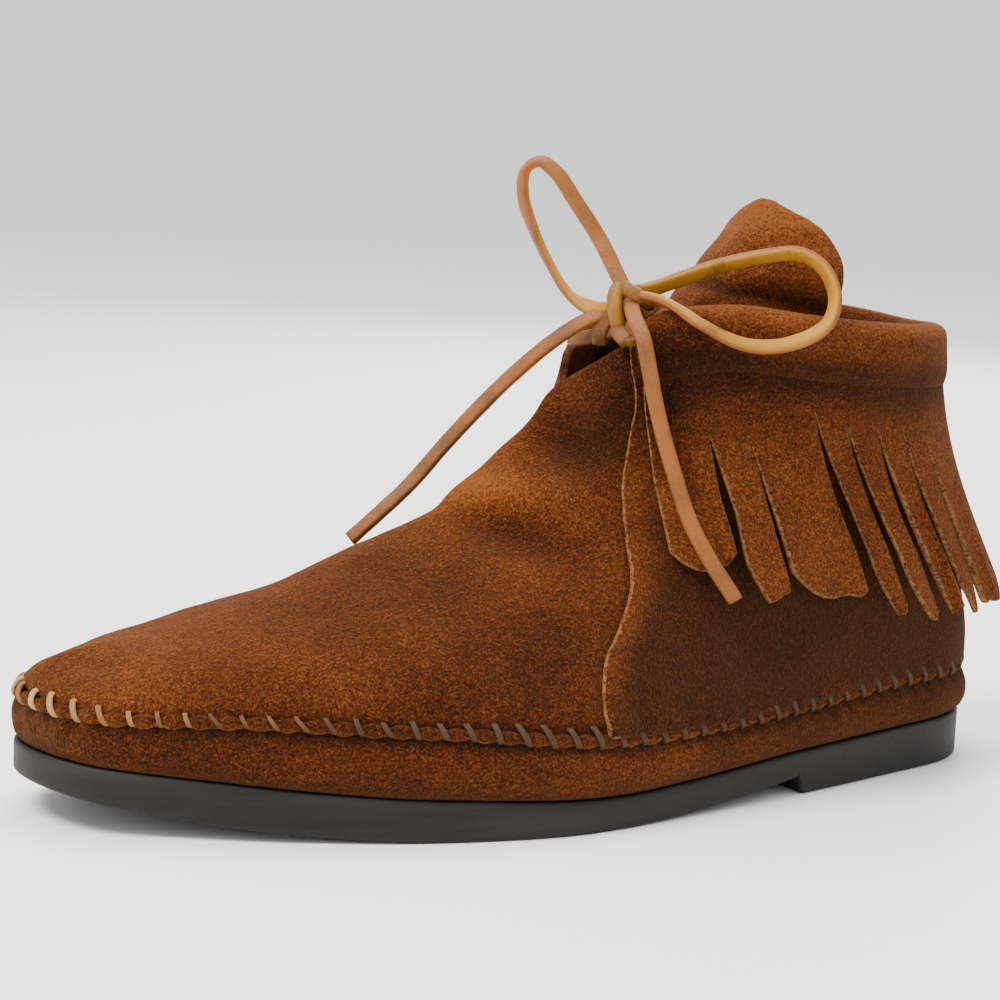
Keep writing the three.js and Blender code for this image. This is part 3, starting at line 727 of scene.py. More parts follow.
def strap_grid(
    path: Array, face: Array, width: float, thickness: float, sides: int = 20, power: float = 0.55
) -> tuple[Array, Array]:
    """Flat strap along a path, its section a rounded rectangle.

    The section is a superellipse: the width and thickness times a power of cosine and sine.

    Args:
        path: points along the middle, shape (n, 3).
        face: direction that the strap's grain side looks in, shape (n, 3).
        width: full width.
        thickness: full thickness.
        sides: points round the section.
        power: the section's power, 1 for an ellipse and less for a squarer one.

    Returns:
        Grid of points, shape (n, sides, 3), and how much each looks to the flesh side, -1 to 1.
    """
    along = unit(np.gradient(path, axis=0))
    out = unit(face - along * np.sum(face * along, axis=-1, keepdims=True))
    across = np.cross(along, out)
    turn = np.linspace(0, TURN, sides, endpoint=False)
    wide = (np.sign(np.cos(turn)) * np.abs(np.cos(turn)) ** power * width / 2)[None, :, None]
    thick = (np.sign(np.sin(turn)) * np.abs(np.sin(turn)) ** power * thickness / 2)[None, :, None]
    grid = path[:, None] + across[:, None] * wide + out[:, None] * thick
    flesh = np.broadcast_to(-np.sin(turn), grid.shape[:2])
    return grid, flesh


def tube_faces(n: int, sides: int, closed: bool) -> list[Array]:
    """Faces of a tube of rings, with flat caps where it is open.

    Args:
        n: number of rings.
        sides: points in a ring.
        closed: whether the last ring meets the first.

    Returns:
        Quads, then one face for each cap.
    """
    i = np.arange(n if closed else n - 1)[:, None]
    j = np.arange(sides)[None, :]
    nxt = (j + 1) % sides
    a, b = i * sides, ((i + 1) % n) * sides
    quads = np.stack([a + j, b + j, b + nxt, a + nxt], axis=-1).reshape(-1, 4)
    if closed:
        return [quads]
    ring = np.arange(sides)
    return [quads, [ring.tolist()], [(ring[::-1] + (n - 1) * sides).tolist()]]


def turn_out(piece: bpy.types.Object) -> None:
    """Make the faces of closed tubes look outwards.

    Args:
        piece: the piece whose mesh is turned.
    """
    build = bmesh.new()
    build.from_mesh(piece.data)
    bmesh.ops.recalc_face_normals(build, faces=build.faces[:])
    build.to_mesh(piece.data)
    build.free()


class Graph:
    """Node tree of one material, built around its Principled shader."""

    MIX_COLOURS = (6, 7)
    MIX_RESULT = 2

    def __init__(self, name: str) -> None:
        """Make the material and keep its shader.

        Args:
            name: the material's name.
        """
        self.material = bpy.data.materials.new(name)
        self.material.use_nodes = True
        self.tree = self.material.node_tree
        self.shader = self.tree.nodes["Principled BSDF"]
        self.place = self.tree.nodes.new("ShaderNodeTexCoord").outputs["Object"]

    def node(self, kind: str, **inputs: object) -> bpy.types.Node:
        """Node whose named inputs are set to values or linked to sockets.

        Args:
            kind: the node's type, without ShaderNode.
            inputs: values or sockets by input name, blanks as underscores.

        Returns:
            The node.
        """
        made = self.tree.nodes.new(f"ShaderNode{kind}")
        for name, value in inputs.items():
            self.put(made.inputs[name.replace("_", " ")], value)
        return made

    def put(self, socket: bpy.types.NodeSocket, value: object) -> None:
        """Link a socket to an input, or set the input's value.

        Args:
            socket: the input.
            value: another node's socket, or a plain value.
        """
        if isinstance(value, bpy.types.NodeSocket):
            self.tree.links.new(value, socket)
        else:
            socket.default_value = value

    def noise(
        self, scale: float, detail: float = 3, rough: float = 0.6, stretch: Point = (1, 1, 1)
    ) -> object:
        """Noise from 0 to 1 in the piece's own space.

        Args:
            scale: waves to the metre.
            detail: number of finer layers.
            rough: weight of each finer layer.
            stretch: factor of the scale on each axis.

        Returns:
            The noise's socket.
        """
        place = self.node("Mapping", Vector=self.place, Scale=stretch).outputs["Vector"]
        made = self.node("TexNoise", Vector=place, Scale=scale, Detail=detail, Roughness=rough)
        return made.outputs["Fac"]

    def reading(self, name: str) -> object:
        """Value of a point attribute.

        Args:
            name: the attribute's name.

        Returns:
            Its socket.
        """
        made = self.node("Attribute")
        made.attribute_name = name
        return made.outputs["Fac"]

    def math(self, kind: str, first: object, second: object = 0.5) -> object:
        """Result of a Math node.

        Args:
            kind: the operation.
            first: socket or number.
            second: socket or number.

        Returns:
            The result's socket.
        """
        made = self.tree.nodes.new("ShaderNodeMath")
        made.operation = kind
        self.put(made.inputs[0], first)
        self.put(made.inputs[1], second)
        return made.outputs["Value"]

    def span(self, value: object, low: float, high: float, start: float = 0, end: float = 1) -> object:
        """Value moved from low and high to start and end, and held between those."""
        made = self.node("MapRange", Value=value, From_Min=low, From_Max=high, To_Min=start, To_Max=end)
        return made.outputs["Result"]

    def mix(self, share: object, first: object, second: object, kind: str = "MIX") -> object:
        """Colour mixed from two.

        Args:
            share: share of the second.
            first: socket or colour.
            second: socket or colour.
            kind: the way of mixing.

        Returns:
            The mixed colour's socket.
        """
        made = self.tree.nodes.new("ShaderNodeMix")
        made.data_type = "RGBA"
        made.blend_type = kind
        self.put(made.inputs["Factor"], share)
        for place, part in zip(self.MIX_COLOURS, (first, second)):
            self.put(made.inputs[place], part if isinstance(part, bpy.types.NodeSocket) else (*part, 1))
        return made.outputs[self.MIX_RESULT]

    def total(self, base: float, *parts: tuple[object, float]) -> object:
        """Base plus each part's distance from one half, times its weight.

        Args:
            base: the sum where every part is one half.
            parts: pairs of a socket and its weight.

        Returns:
            The sum's socket.
        """
        result = base - sum(weight for _, weight in parts) / 2
        for value, weight in parts:
            result = self.math("ADD", self.math("MULTIPLY", value, weight), result)
        return result

    def ramp(self, value: object, *stops: tuple[float, Colour]) -> object:
        """Colour read from a ramp of placed colours.

        Args:
            value: place along the ramp.
            stops: pairs of a place and its colour, rising.

        Returns:
            The colour's socket.
        """
        made = self.node("ValToRGB", Fac=value)
        band = made.color_ramp
        band.elements[0].position, band.elements[-1].position = stops[0][0], stops[-1][0]
        for place, _ in stops[1:-1]:
            band.elements.new(place)
        for element, (_, colour) in zip(band.elements, stops):
            element.color = (*colour, 1)
        return made.outputs["Color"]

    def bump(self, height: object, distance: float, strength: float = 1.0) -> object:
        """Normal bent by a height of up to a distance in metres."""
        made = self.node("Bump", Height=height, Distance=distance, Strength=strength)
        return made.outputs["Normal"]

    def finish(
        self, colour: object, rough: object, normal: object = None, **settings: object
    ) -> bpy.types.Material:
        """Material with its colour, roughness, normal and constant settings.

        Args:
            colour: socket or colour.
            rough: socket or roughness.
            normal: socket of the bent normal.
            settings: other inputs of the shader by name, blanks as underscores.

        Returns:
            The finished material.
        """
        self.put(self.shader.inputs["Base Color"], (*colour, 1) if isinstance(colour, tuple) else colour)
        self.put(self.shader.inputs["Roughness"], rough)
        if normal is not None:
            self.put(self.shader.inputs["Normal"], normal)
        for name, value in settings.items():
            self.put(self.shader.inputs[name.replace("_", " ")], value)
        return self.material


@dataclass(frozen=True)
class SuedeFinish:
    """Rust-brown suede with a short nap, patchy from brushing, pale where it is cut."""

    name: str = "suede"
    deep: Colour = (0.0115, 0.0025, 0.0008)
    nap: Colour = (0.08, 0.0172, 0.0032)
    pale: Colour = (0.235, 0.068, 0.0125)
    raw: Colour = (0.27, 0.13, 0.052)
    sheen: Colour = (1.0, 0.42, 0.14)

    def material(self) -> bpy.types.Material:
        """Tone from fine nap, tufts, patches from brushing and the attribute shade, which carries painted
        shade and light; cut edges paler.

        Returns:
            The material.
        """
        graph = Graph(self.name)
        fibre = graph.noise(1700, 5, 0.8)
        tuft = graph.noise(780, 4, 0.7)
        patch = graph.noise(42, 4, 0.6, (1, 1, 1.4))
        wide = graph.noise(14, 2, 0.5)
        shade = graph.math("MULTIPLY", graph.reading("shade"), -0.42)
        tone = graph.total(0.5, (fibre, 3.0), (tuft, 0.8), (patch, 0.5), (wide, 0.35))
        tone = graph.math("ADD", tone, shade)
        colour = graph.ramp(tone, (0.05, self.deep), (0.5, self.nap), (0.98, self.pale))
        cut = graph.total(0.5, (graph.reading("edge"), 1.0), (fibre, 1.4), (tuft, 2.0))
        colour = graph.mix(graph.span(cut, 0.72, 1.25, 0, 0.95), colour, self.raw)
        height = graph.math("ADD", fibre, graph.math("MULTIPLY", tuft, 1.4))
        normal = graph.bump(height, 0.0007, 0.9)
        return graph.finish(
            colour, 0.95, normal, Specular_IOR_Level=0.08, Sheen_Weight=0.16, Sheen_Roughness=0.4,
            Sheen_Tint=(*self.sheen, 1),
        )


@dataclass(frozen=True)
class RawhideFinish:
    """Oiled rawhide thong: smooth tan face, ochre flesh side, fine cracks across the bends."""

    name: str = "rawhide"
    face: Colour = (0.215, 0.066, 0.008)
    flesh: Colour = (0.36, 0.158, 0.0055)
    dark: Colour = (0.06, 0.027, 0.005)

    def material(self) -> bpy.types.Material:
        """Colour by side from the attribute flesh, with stains and fibres along the strap, and painted shade
        from the attribute shade.

        Returns:
            The material.
        """
        graph = Graph(self.name)
        stain = graph.noise(110, 4, 0.6)
        fibre = graph.noise(1500, 4, 0.65)
        side = graph.total(0.5, (graph.reading("flesh"), 1.0), (stain, 0.6))
        colour = graph.mix(graph.span(side, -0.1, 0.35), self.face, self.flesh)
        worn = graph.total(0.5, (stain, 1.6), (fibre, 0.9))
        # The attribute shade adds painted shade to the stains.
        worn = graph.math("ADD", worn, graph.math("MULTIPLY", graph.reading("shade"), 0.5))
        colour = graph.mix(graph.span(worn, 0.5, 1.0, 0, 0.75), colour, self.dark)
        normal = graph.bump(graph.math("ADD", fibre, stain), 0.0003, 0.6)
        return graph.finish(colour, graph.span(fibre, 0.3, 0.7, 0.45, 0.65), normal, Specular_IOR_Level=0.3)


@dataclass(frozen=True)
class RubberFinish:
    """Dark grey sole rubber: matt, with faint buffing marks and dusty scuffs."""

    name: str = "rubber"
    base: Colour = (0.006, 0.0054, 0.005)
    dusty: Colour = (0.0205, 0.0188, 0.0178)

    def material(self) -> bpy.types.Material:
        """Grey from streaks along the sole and fine grain.

        Returns:
            The material.
        """
        graph = Graph(self.name)
        streak = graph.noise(60, 4, 0.6, (0.25, 0.25, 3))
        grain = graph.noise(1600, 3, 0.6)
        colour = graph.mix(graph.span(streak, 0.36, 0.66, 0, 0.9), self.base, self.dusty)
        colour = graph.mix(graph.span(grain, 0.5, 0.8, 0, 0.25), colour, self.dusty)
        normal = graph.bump(graph.math("ADD", grain, streak), 0.00025, 0.5)
        return graph.finish(colour, graph.span(streak, 0.3, 0.7, 0.5, 0.68), normal, Specular_IOR_Level=0.22)


@dataclass(frozen=True)
class LiningFinish:
    """Worn brown sock leather with a soft print of the weave under it."""

    name: str = "lining"
    base: Colour = (0.05, 0.02, 0.007)
    worn: Colour = (0.1, 0.046, 0.018)
    grime: Colour = (0.02, 0.008, 0.003)

    def material(self) -> bpy.types.Material:
        """Brown, paler where the foot rubs it.

        Returns:
            The material.
        """
        graph = Graph(self.name)
        wear = graph.noise(26, 3, 0.5)
        grain = graph.noise(1100, 4, 0.6)
        colour = graph.mix(graph.span(wear, 0.4, 0.7, 0, 0.6), self.base, self.worn)
        colour = graph.mix(graph.span(grain, 0.5, 0.75, 0, 0.3), colour, self.grime)
        return graph.finish(colour, 0.75, graph.bump(grain, 0.0003, 0.6), Specular_IOR_Level=0.25)


@dataclass(frozen=True)
class ThreadFinish:
    """Waxed whipstitch thread: cream at the toe, tan and then dark brown towards the heel, by wear and
    painted shade.
    """

    name: str = "thread"
    cream: Colour = (0.42, 0.25, 0.095)
    tan: Colour = (0.22, 0.092, 0.024)
    brown: Colour = (0.05, 0.021, 0.007)
    groove: Colour = (0.08, 0.035, 0.012)

    def material(self) -> bpy.types.Material:
        """Colour along the attribute tone, with twisted plies as bump.

        Returns:
            The material.
        """
        graph = Graph(self.name)
        tone = graph.reading("tone")
        ply = graph.noise(2600, 3, 0.6, (1, 1, 0.4))
        colour = graph.mix(graph.span(tone, 0.12, 0.42), self.cream, self.tan)
        colour = graph.mix(graph.span(tone, 0.45, 0.8), colour, self.brown)
        colour = graph.mix(graph.span(ply, 0.5, 0.7, 0, 0.5), colour, self.groove)
        return graph.finish(colour, 0.7, graph.bump(ply, 0.0004, 0.8), Specular_IOR_Level=0.3)


@dataclass(frozen=True)
class FloorFinish:
    """Plain pale studio floor."""

    name: str = "floor"
    base: Colour = (0.98, 0.98, 0.98)
    uneven: Colour = (0.94, 0.94, 0.94)

    def material(self) -> bpy.types.Material:
        """Near-white, with the faintest unevenness.

        Returns:
            The material.
        """
        graph = Graph(self.name)
        colour = graph.mix(graph.span(graph.noise(6, 2), 0.4, 0.6, 0, 0.06), self.base, self.uneven)
        return graph.finish(colour, 0.6, Specular_IOR_Level=0.2)


@dataclass(frozen=True)
class Finishes:
    """Materials of the whole boot, one for each finish."""

    suede: bpy.types.Material
    rawhide: bpy.types.Material
    rubber: bpy.types.Material
    lining: bpy.types.Material
    thread: bpy.types.Material


def dress(piece: bpy.types.Object, material: bpy.types.Material, slot: str, *nodes: str) -> bpy.types.Object:
    """Give a piece its material and its ride, and hide the nodes that it stands for.

    Args:
        piece: the finished piece.
        material: its material.
        slot: not used.
        nodes: the solids that it replaces.

    Returns:
        The same piece.
    """
    piece.data.materials.append(material)
    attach(piece, "root")
    if nodes:
        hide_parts(*nodes)
    log.info("%s: %d vertices", piece.name, len(piece.data.vertices) if piece.type == "MESH" else 0)
    return piece


@dataclass
class Studio:
    """Camera at the photograph's angle, soft lights and a pale floor.

    The turn and roll are in degrees, the lens and sensor in millimetres.
    """

    last: Last
    turn: float = 150.51
    height: float = 0.15839
    distance: float = 0.59616
    pivot: float = 0.125
    aim: Point = (0.136, 0.0, 0.06824)
    roll: float = 2.61
    lens: float = 90.96
    sensor: float = 36.0
    look_at: Point = (0, 0, 0.05)
    sky: float = 1.2
    floor_size: float = 60.0
    floor_drop: float = 0.0001

    def camera(self) -> None:
        """Camera on a circle round the boot, aimed at the instep and rolled a little.

        Its place is the pivot plus the distance times the sine and minus cosine of the turn.
        """
        turn = math.radians(self.turn)
        x, y = self.pivot + math.sin(turn) * self.distance, -math.cos(turn) * self.distance
        place = Vector(self.last.placed(x, y, self.height))
        aim = Vector(self.last.placed(*self.aim))
        data = bpy.data.cameras.new("camera")
        data.lens = self.lens
        data.sensor_width = self.sensor
        data.clip_start = 0.01
        camera = bpy.data.objects.new("camera", data)
        camera.location = place
        camera.rotation_euler = (aim - place).to_track_quat("-Z", "Y").to_euler()
        camera.rotation_euler.rotate_axis("Z", math.radians(self.roll))
        bpy.context.scene.collection.objects.link(camera)
        bpy.context.scene.camera = camera

    def light(
        self, name: str, place: Point, size: float, power: float, colour: Colour = (1, 1, 1)
    ) -> None:
        """Square soft light aimed at the middle of the boot.

        Args:
            name: the light's name.
            place: its middle, in metres.
            size: side of the square.
            power: watts.
            colour: its colour.
        """
        data = bpy.data.lights.new(name, "AREA")
        data.energy = power
        data.size = size
        data.color = colour
        lamp = bpy.data.objects.new(name, data)
        lamp.location = place
        lamp.rotation_euler = (Vector(self.look_at) - Vector(place)).to_track_quat("-Z", "Y").to_euler()
        bpy.context.scene.collection.objects.link(lamp)

    def lights(self) -> None:
        """Key from the toe's side and above, weak fill from the heel's side, light from above."""
        self.light("key", (0.7, 0.12, 1.05), 0.5, 23, (1, 0.97, 0.93))
        self.light("top", (-0.15, -0.3, 1.3), 0.6, 13)
        self.light("rim", (-0.7, -0.9, 0.6), 0.6, 8, (1, 0.96, 0.9))
        world = bpy.data.worlds.new("world")
        world.use_nodes = True
        shade = world.node_tree.nodes["Background"]
        shade.inputs["Color"].default_value = (1, 1, 1, 1)
        shade.inputs["Strength"].default_value = self.sky
        bpy.context.scene.world = world

    def floor(self) -> None:
        """Large pale square just under the sole."""
        square = np.array([[-1, -1, 0], [1, -1, 0], [1, 1, 0], [-1, 1, 0]]) * self.floor_size / 2
        floor = mesh_piece("floor", square - [0, 0, self.floor_drop], [[[0, 1, 2, 3]]])
        floor.data.materials.append(FloorFinish().material())


@dataclass
class Sole:
    """One-piece rubber sole: flat heel and forefoot, arch with a curved breast, toe spring."""

    last: Last
    rounding: float = 0.0009
    breast_bow: float = 0.09
    breast_run: float = 0.0012
    around: int = 432
    across: int = 26

    def profile(self) -> tuple[Array, Array, Array, Array]:
        """Section of the rubber from the bottom's middle over the rounded wall to the top's middle.

        Returns:
            For each outline: its inset, its lift off the level, its level from 0 at the bottom
            to 1 at the top, and its pull to the middle line.
        """
        r = self.rounding
        corner = np.radians([0, 22, 45, 68, 90])
        wall = [0.25, 0.5, 0.75]
        flat = np.zeros(len(wall))
        pad = np.zeros(self.across - 1)
        inset = r * np.concatenate([1 - np.sin(corner), flat, 1 - np.cos(corner)])
        lift = r * np.concatenate([1 - np.cos(corner), flat, np.sin(corner) - 1])
        level = np.concatenate([np.zeros(len(corner)), wall, np.ones(len(corner))])
        inward = np.linspace(1, 0, self.across) ** 1.4
        pull = np.concatenate([inward[:-1], np.zeros(len(level)), inward[::-1][1:]])
        parts = [(pad + r, inset, pad + r), (pad, lift, pad), (pad, level, pad + 1)]
        return *(np.concatenate(part) for part in parts), pull

    def build(self, finishes: Finishes) -> None:
        """Side wall, top and bottom as one surface of nested outlines.

        The bottom's height is the toe spring or the arch, whichever counts at that place, and
        the breast is a steep smooth step across a bent line.

        Args:
            finishes: the boot's materials.
        """
        last = self.last
        inset, lift, level, pull = self.profile()
        angle = np.linspace(0, TURN, self.around, endpoint=False)
        x, y = last.beside_plan(angle[:, None], -inset[None, :])
        spine_x, spine_y = last.spine(x)
        x = x + (spine_x - x) * pull
        y = y + (spine_y - y) * pull
        share = np.clip(x / last.length, -0.04, 1.04)
        top = last.seat(share)
        bow = self.breast_bow * last.ball_width * (0.45 - 1.6 * (y / (0.7 * last.ball_width)) ** 2)
        ahead = ease((x - last.length * last.heel_share - bow) / self.breast_run + 0.5)
        bottom = np.maximum(last.spring(share), last.arch(share) * ahead)
        z = bottom + (top - bottom) * level + lift
        points = last.placed(x, y, z)
        piece = mesh_piece("sole", points, [grid_faces(self.around, points.shape[1], True)])
        dress(piece, finishes.rubber, "rubber", "outsole")


@dataclass
class Insole:
    """Sock board inside, cut a little smaller than the sole."""

    last: Last
    inset: float = 0.0049
    lift: float = 0.0024
    thickness: float = 0.003
    rounding: float = 0.0008
    around: int = 240
    across: int = 18

    def build(self, finishes: Finishes) -> None:
        """Two outlines filled towards the middle line, with a rounded edge.

        Args:
            finishes: the boot's materials.
        """
        last = self.last
        angle = np.linspace(0, TURN, self.around, endpoint=False)[:, None]
        edge_x, edge_y = last.beside_plan(angle, np.full(angle.shape, -self.inset))
        spine_x, spine_y = last.spine(edge_x)
        pull = np.linspace(0, 1, self.across)[None, :]
        x = edge_x + (spine_x - edge_x) * pull
        y = edge_y + (spine_y - edge_y) * pull
        base = last.seat(x / last.length) + self.lift
        top = last.placed(x, y, base + self.thickness)
        piece = slab_piece("sock", top, last.placed(x, y, base), around=True, swell=self.rounding)
        dress(piece, finishes.lining, "lining", "insole")


@dataclass(frozen=True)
class Crease:
    """Soft trough, or ridge where the depth is negative, between two points in own millimetres."""

    start: Point
    end: Point
    width: float
    depth: float


# Main creases: throat and instep first, then vamp, outer side and inner side.
CREASES = [
    Crease((128, -1, 90), (151, -3, 67), 11, -1.7),
    Crease((150, -4, 70), (131, 16, 71), 6.5, -2.3),
    Crease((129, 3, 86), (117, 18, 80), 6, 2.4),
    Crease((147, 5, 65), (133, 27, 60), 6.5, 2.2),
    Crease((129, -4, 86), (118, -20, 80), 6, 2.2),
    Crease((149, -8, 66), (137, -27, 58), 6, 2),
    Crease((176, 2, 54), (160, 27, 52), 9, 0.8),
    Crease((196, -4, 49), (182, 24, 42), 10, 0.7),
    Crease((190, -10, 49), (178, -32, 38), 9, 0.9),
    Crease((138, 37, 46), (152, 42, 30), 8, 0.8),
    Crease((100, 42, 60), (84, 40, 34), 9, 1.1),
    Crease((66, 38, 66), (60, 38, 36), 10, 1),
    Crease((30, 28, 62), (24, 30, 34), 9, 0.9),
    Crease((118, -36, 60), (104, -37, 32), 9, 1.2),
    Crease((60, -34, 66), (70, -35, 34), 9, 1),
]


def crease_depth(own: Array) -> Array:
    """Depth of all creases: each is a bell of the distance from its line, tapered at its ends.

    Args:
        own: surface points in the boot's own metres, last axis x, y, z.

    Returns:
        How far each point sinks, in metres.
    """
    total = np.zeros(own.shape[:-1])
    for crease in CREASES:
        start, end = np.array(crease.start) / 1000, np.array(crease.end) / 1000
        run = end - start
        share = np.clip((own - start) @ run / (run @ run), 0, 1)
        gap = np.linalg.norm(own - (start + share[..., None] * run), axis=-1)
        reach = 0.4 + 0.6 * np.sin(math.pi * np.clip(share, 0, 1)) ** 0.7
        total += crease.depth / 1000 * hump(gap, crease.width / 1000) * reach
    return total


def knot_shadow(own: Array) -> Array:
    """Painted shadow on the leather round the knot, for points in own metres."""
    return 0.9 * hump(np.linalg.norm(own - [0.108, 0.02, 0.099], axis=-1), 0.016)


@dataclass
class Upper:
    """Suede upper: sidewall wrap below the whipped seam, vamp and back above it."""

    last: Last
    wall: float = 0.0018
    pitch: float = 0.0062
    pucker: float = 0.00035
    edge_swell: float = 0.0003
    ridge_slack: float = 0.0021
    tip_slack: float = 0.002
    smoothing: int = 120
    around: int = 576
    rows: int = 46
    wrap_around: int = 864
    wrap_rows: int = 15

    def seam_run(self, step: Array) -> Array:
        """Distance along the whipped seam from the toe to each step.

        Args:
            step: loop steps, whole or not.

        Returns:
            Distances in metres.
        """
        fine = np.linspace(0, self.last.steps, 2000)
        line = self.last.wrap_point(fine, np.ones(fine.shape))
        run = np.concatenate([[0], np.cumsum(np.linalg.norm(np.diff(line, axis=0), axis=1))])
        return np.interp(step, fine, run)

    def stitches(self) -> int:
        """Number of whipstitches round the boot."""
        return round(float(self.seam_run(np.array(self.last.steps))) / self.pitch)

    def gather(self, step: Array) -> Array:
        """Puckers of the seam: one minus cosine of a turn for each stitch, halved."""
        total = float(self.seam_run(np.array(self.last.steps)))
        return (1 - np.cos(TURN * self.stitches() * self.seam_run(step) / total)) / 2

    def ridge_faces(self, m: int, n: int) -> Array:
        """Quads of the vamp's grid, both sides of the ridge sharing its points.

        Args:
            m: rows round the boot.
            n: vertices from the seam to the top.

        Returns:
            Vertex numbers, shape (faces, 4).
        """
        vamp = int(round(m * self.last.throat / self.last.steps))
        one = np.arange(1, vamp + 1)
        number = np.arange(m * n)
        number[(m - one) * n + n - 1] = one * n + n - 1
        return number[grid_faces(m, n, True)]

    def smoothed(self, points: Array, faces: Array, weight: Array, rounds: int) -> Array:
        """Points drawn to the mean of their neighbours, by a weight for each.

        Args:
            points: the points, shape (n, 3).
            faces: quads that join them.
            weight: how far each point moves in a round, from 0 to 1.
            rounds: number of rounds.

        Returns:
            The smoothed points.
        """
        a, b = faces.ravel(), np.roll(faces, -1, axis=1).ravel()
        count = np.bincount(a, minlength=len(points)) + np.bincount(b, minlength=len(points))
        share = (weight / np.maximum(count, 1))[:, None]
        for _ in range(rounds):
            total = np.zeros_like(points)
            for k in range(3):
                total[:, k] = np.bincount(a, points[b, k], len(points))
                total[:, k] += np.bincount(b, points[a, k], len(points))
            points = points + share * (total - count[:, None] * points)
        return points

    def build(self, finishes: Finishes) -> None:
        """Wrap and vamp as two closed sheets that meet under the seam."""
        self.build_wrap(finishes)
        self.build_vamp(finishes)

    def build_wrap(self, finishes: Finishes) -> None:
        """Sidewall with its turned-in margin, puckered under the seam and rippled at the toe.

        Args:
            finishes: the boot's materials.
        """
        last = self.last
        step = np.linspace(0, last.steps, self.wrap_around, endpoint=False)
        rise = np.linspace(0, 1, self.wrap_rows)
        wall = last.wrap_point(*np.meshgrid(step, rise, indexing="ij"))
        inward = np.array([1, 0.5]) * last.margin
        margin = last.margin_point(*np.meshgrid(step, inward, indexing="ij"))
        grid = np.concatenate([margin, wall], axis=1)
        normal = grid_normals(grid, True)
        # The margin under the wall counts as rise -1 and -0.5.
        rise_all = np.concatenate([[-1, -0.5], rise])
        near = ease((rise_all - 0.35) / 0.6)
        front = ease((grid[..., 0] - 0.06) / 0.06)
        ripple = soft_noise(grid * [1, 1, 0.25], 0.0045, 6) * hump(rise_all - 0.6, 0.45)
        tuck = (self.gather(step)[:, None] - 0.6) * near[None, :] * self.pucker * (1 + 0.8 * front)
        tuck = tuck + ripple * front * 0.00035
        lump = lumps(grid, 3, (0.02, 0.00035), (0.007, 0.00016))
        body = hump(rise_all - 0.5, 0.35)
        outer = grid + normal * (tuck + lump * body)[..., None]
        inner = grid - normal * self.wall
        # Painted shade along the sole and under the seam, more at the toe and towards the heel, with some
        # random tone.
        shade = 0.6 * hump(rise_all, 0.16) + 0.9 * hump(rise_all - 1, 0.16)
        back = ease((-0.01 - grid[..., 0]) / 0.05)
        shade = shade + 0.25 + 0.5 * front + 0.45 * back + 0.15 * soft_noise(grid, 0.03, 5)
        values = {"shade": np.clip(shade, -1, 1)}
        piece = slab_piece("upper_wrap", outer, inner, True, self.edge_swell, values)
        dress(piece, finishes.suede, "suede", "upper")

    def build_vamp(self, finishes: Finishes) -> None:
        """Vamp and back above the seam, with listed creases and small puckers at the seam.

        The ridge and the toe are smoothed, and the ridge hangs lower over the toes, where the
        leather is slack.

        Args:
            finishes: the boot's materials.
        """
        last = self.last
        step = np.linspace(0, last.steps, self.around, endpoint=False)
        rise = np.linspace(0, 1, self.rows) ** 0.85
        grid = last.side_point(*np.meshgrid(step, rise, indexing="ij"))
        faces = self.ridge_faces(*grid.shape[:2])
        foot = np.linalg.norm(grid - grid[:, :1], axis=-1)
        crown = np.linalg.norm(grid - grid[:, -1:], axis=-1)
        half = last.half(step)[:, None]
        # The grid is smoothed near the ridge and round the toe.
        near = hump(crown, 0.012) * ease((last.throat - 0.4 - half) / 2)
        toe = hump(np.maximum(half - 4, 0), 2) * ease((foot - 0.002) / 0.005)
        weight = 0.9 * np.maximum(near, toe).ravel()
        points = self.smoothed(grid.reshape(-1, 3), faces, weight, self.smoothing)
        own = last.own(points)
        slack = hump(own[:, 0] - 0.216, 0.018) * self.ridge_slack
        slack = slack + hump(own[:, 0] - 0.238, 0.008) * self.tip_slack
        points[:, 2] -= slack * hump(own[:, 1] + 0.007, 0.022) * ease((foot.ravel() - 0.003) / 0.012)
        normal = sheet_normals(points, faces)
        tuck = (self.gather(step)[:, None] - 0.6) * hump(foot, 0.0035) * self.pucker * 1.2
        lump = lumps(points, 11, (0.035, 0.0005), (0.011, 0.0002))
        sunk = crease_depth(own) * ease(foot / 0.006).ravel()
        out = tuck.ravel() + lump * ease(foot / 0.01).ravel() - sunk
        # Painted shade at the seam, in the creases and low on the flank under the instep, and painted shadow
        # round the knot, with some random tone.
        low = hump(own[:, 0] - 0.14, 0.025) * ease((0.062 - own[:, 2]) / 0.03)
        shade = 0.5 * hump(foot, 0.0018).ravel() + sunk / 0.003 + 0.12 * soft_noise(points, 0.03, 13)
        shade = shade + 0.16 + 0.3 * low + knot_shadow(own)
        values = {"edge": np.zeros(len(points)), "shade": np.clip(shade, -1, 1)}
        outer = points + normal * out[:, None]
        inner = points - normal * (self.wall + sunk)[:, None]
        piece = thick_piece("upper_vamp", outer, inner, faces, self.edge_swell, values)
        dress(piece, finishes.suede, "suede", "upper")


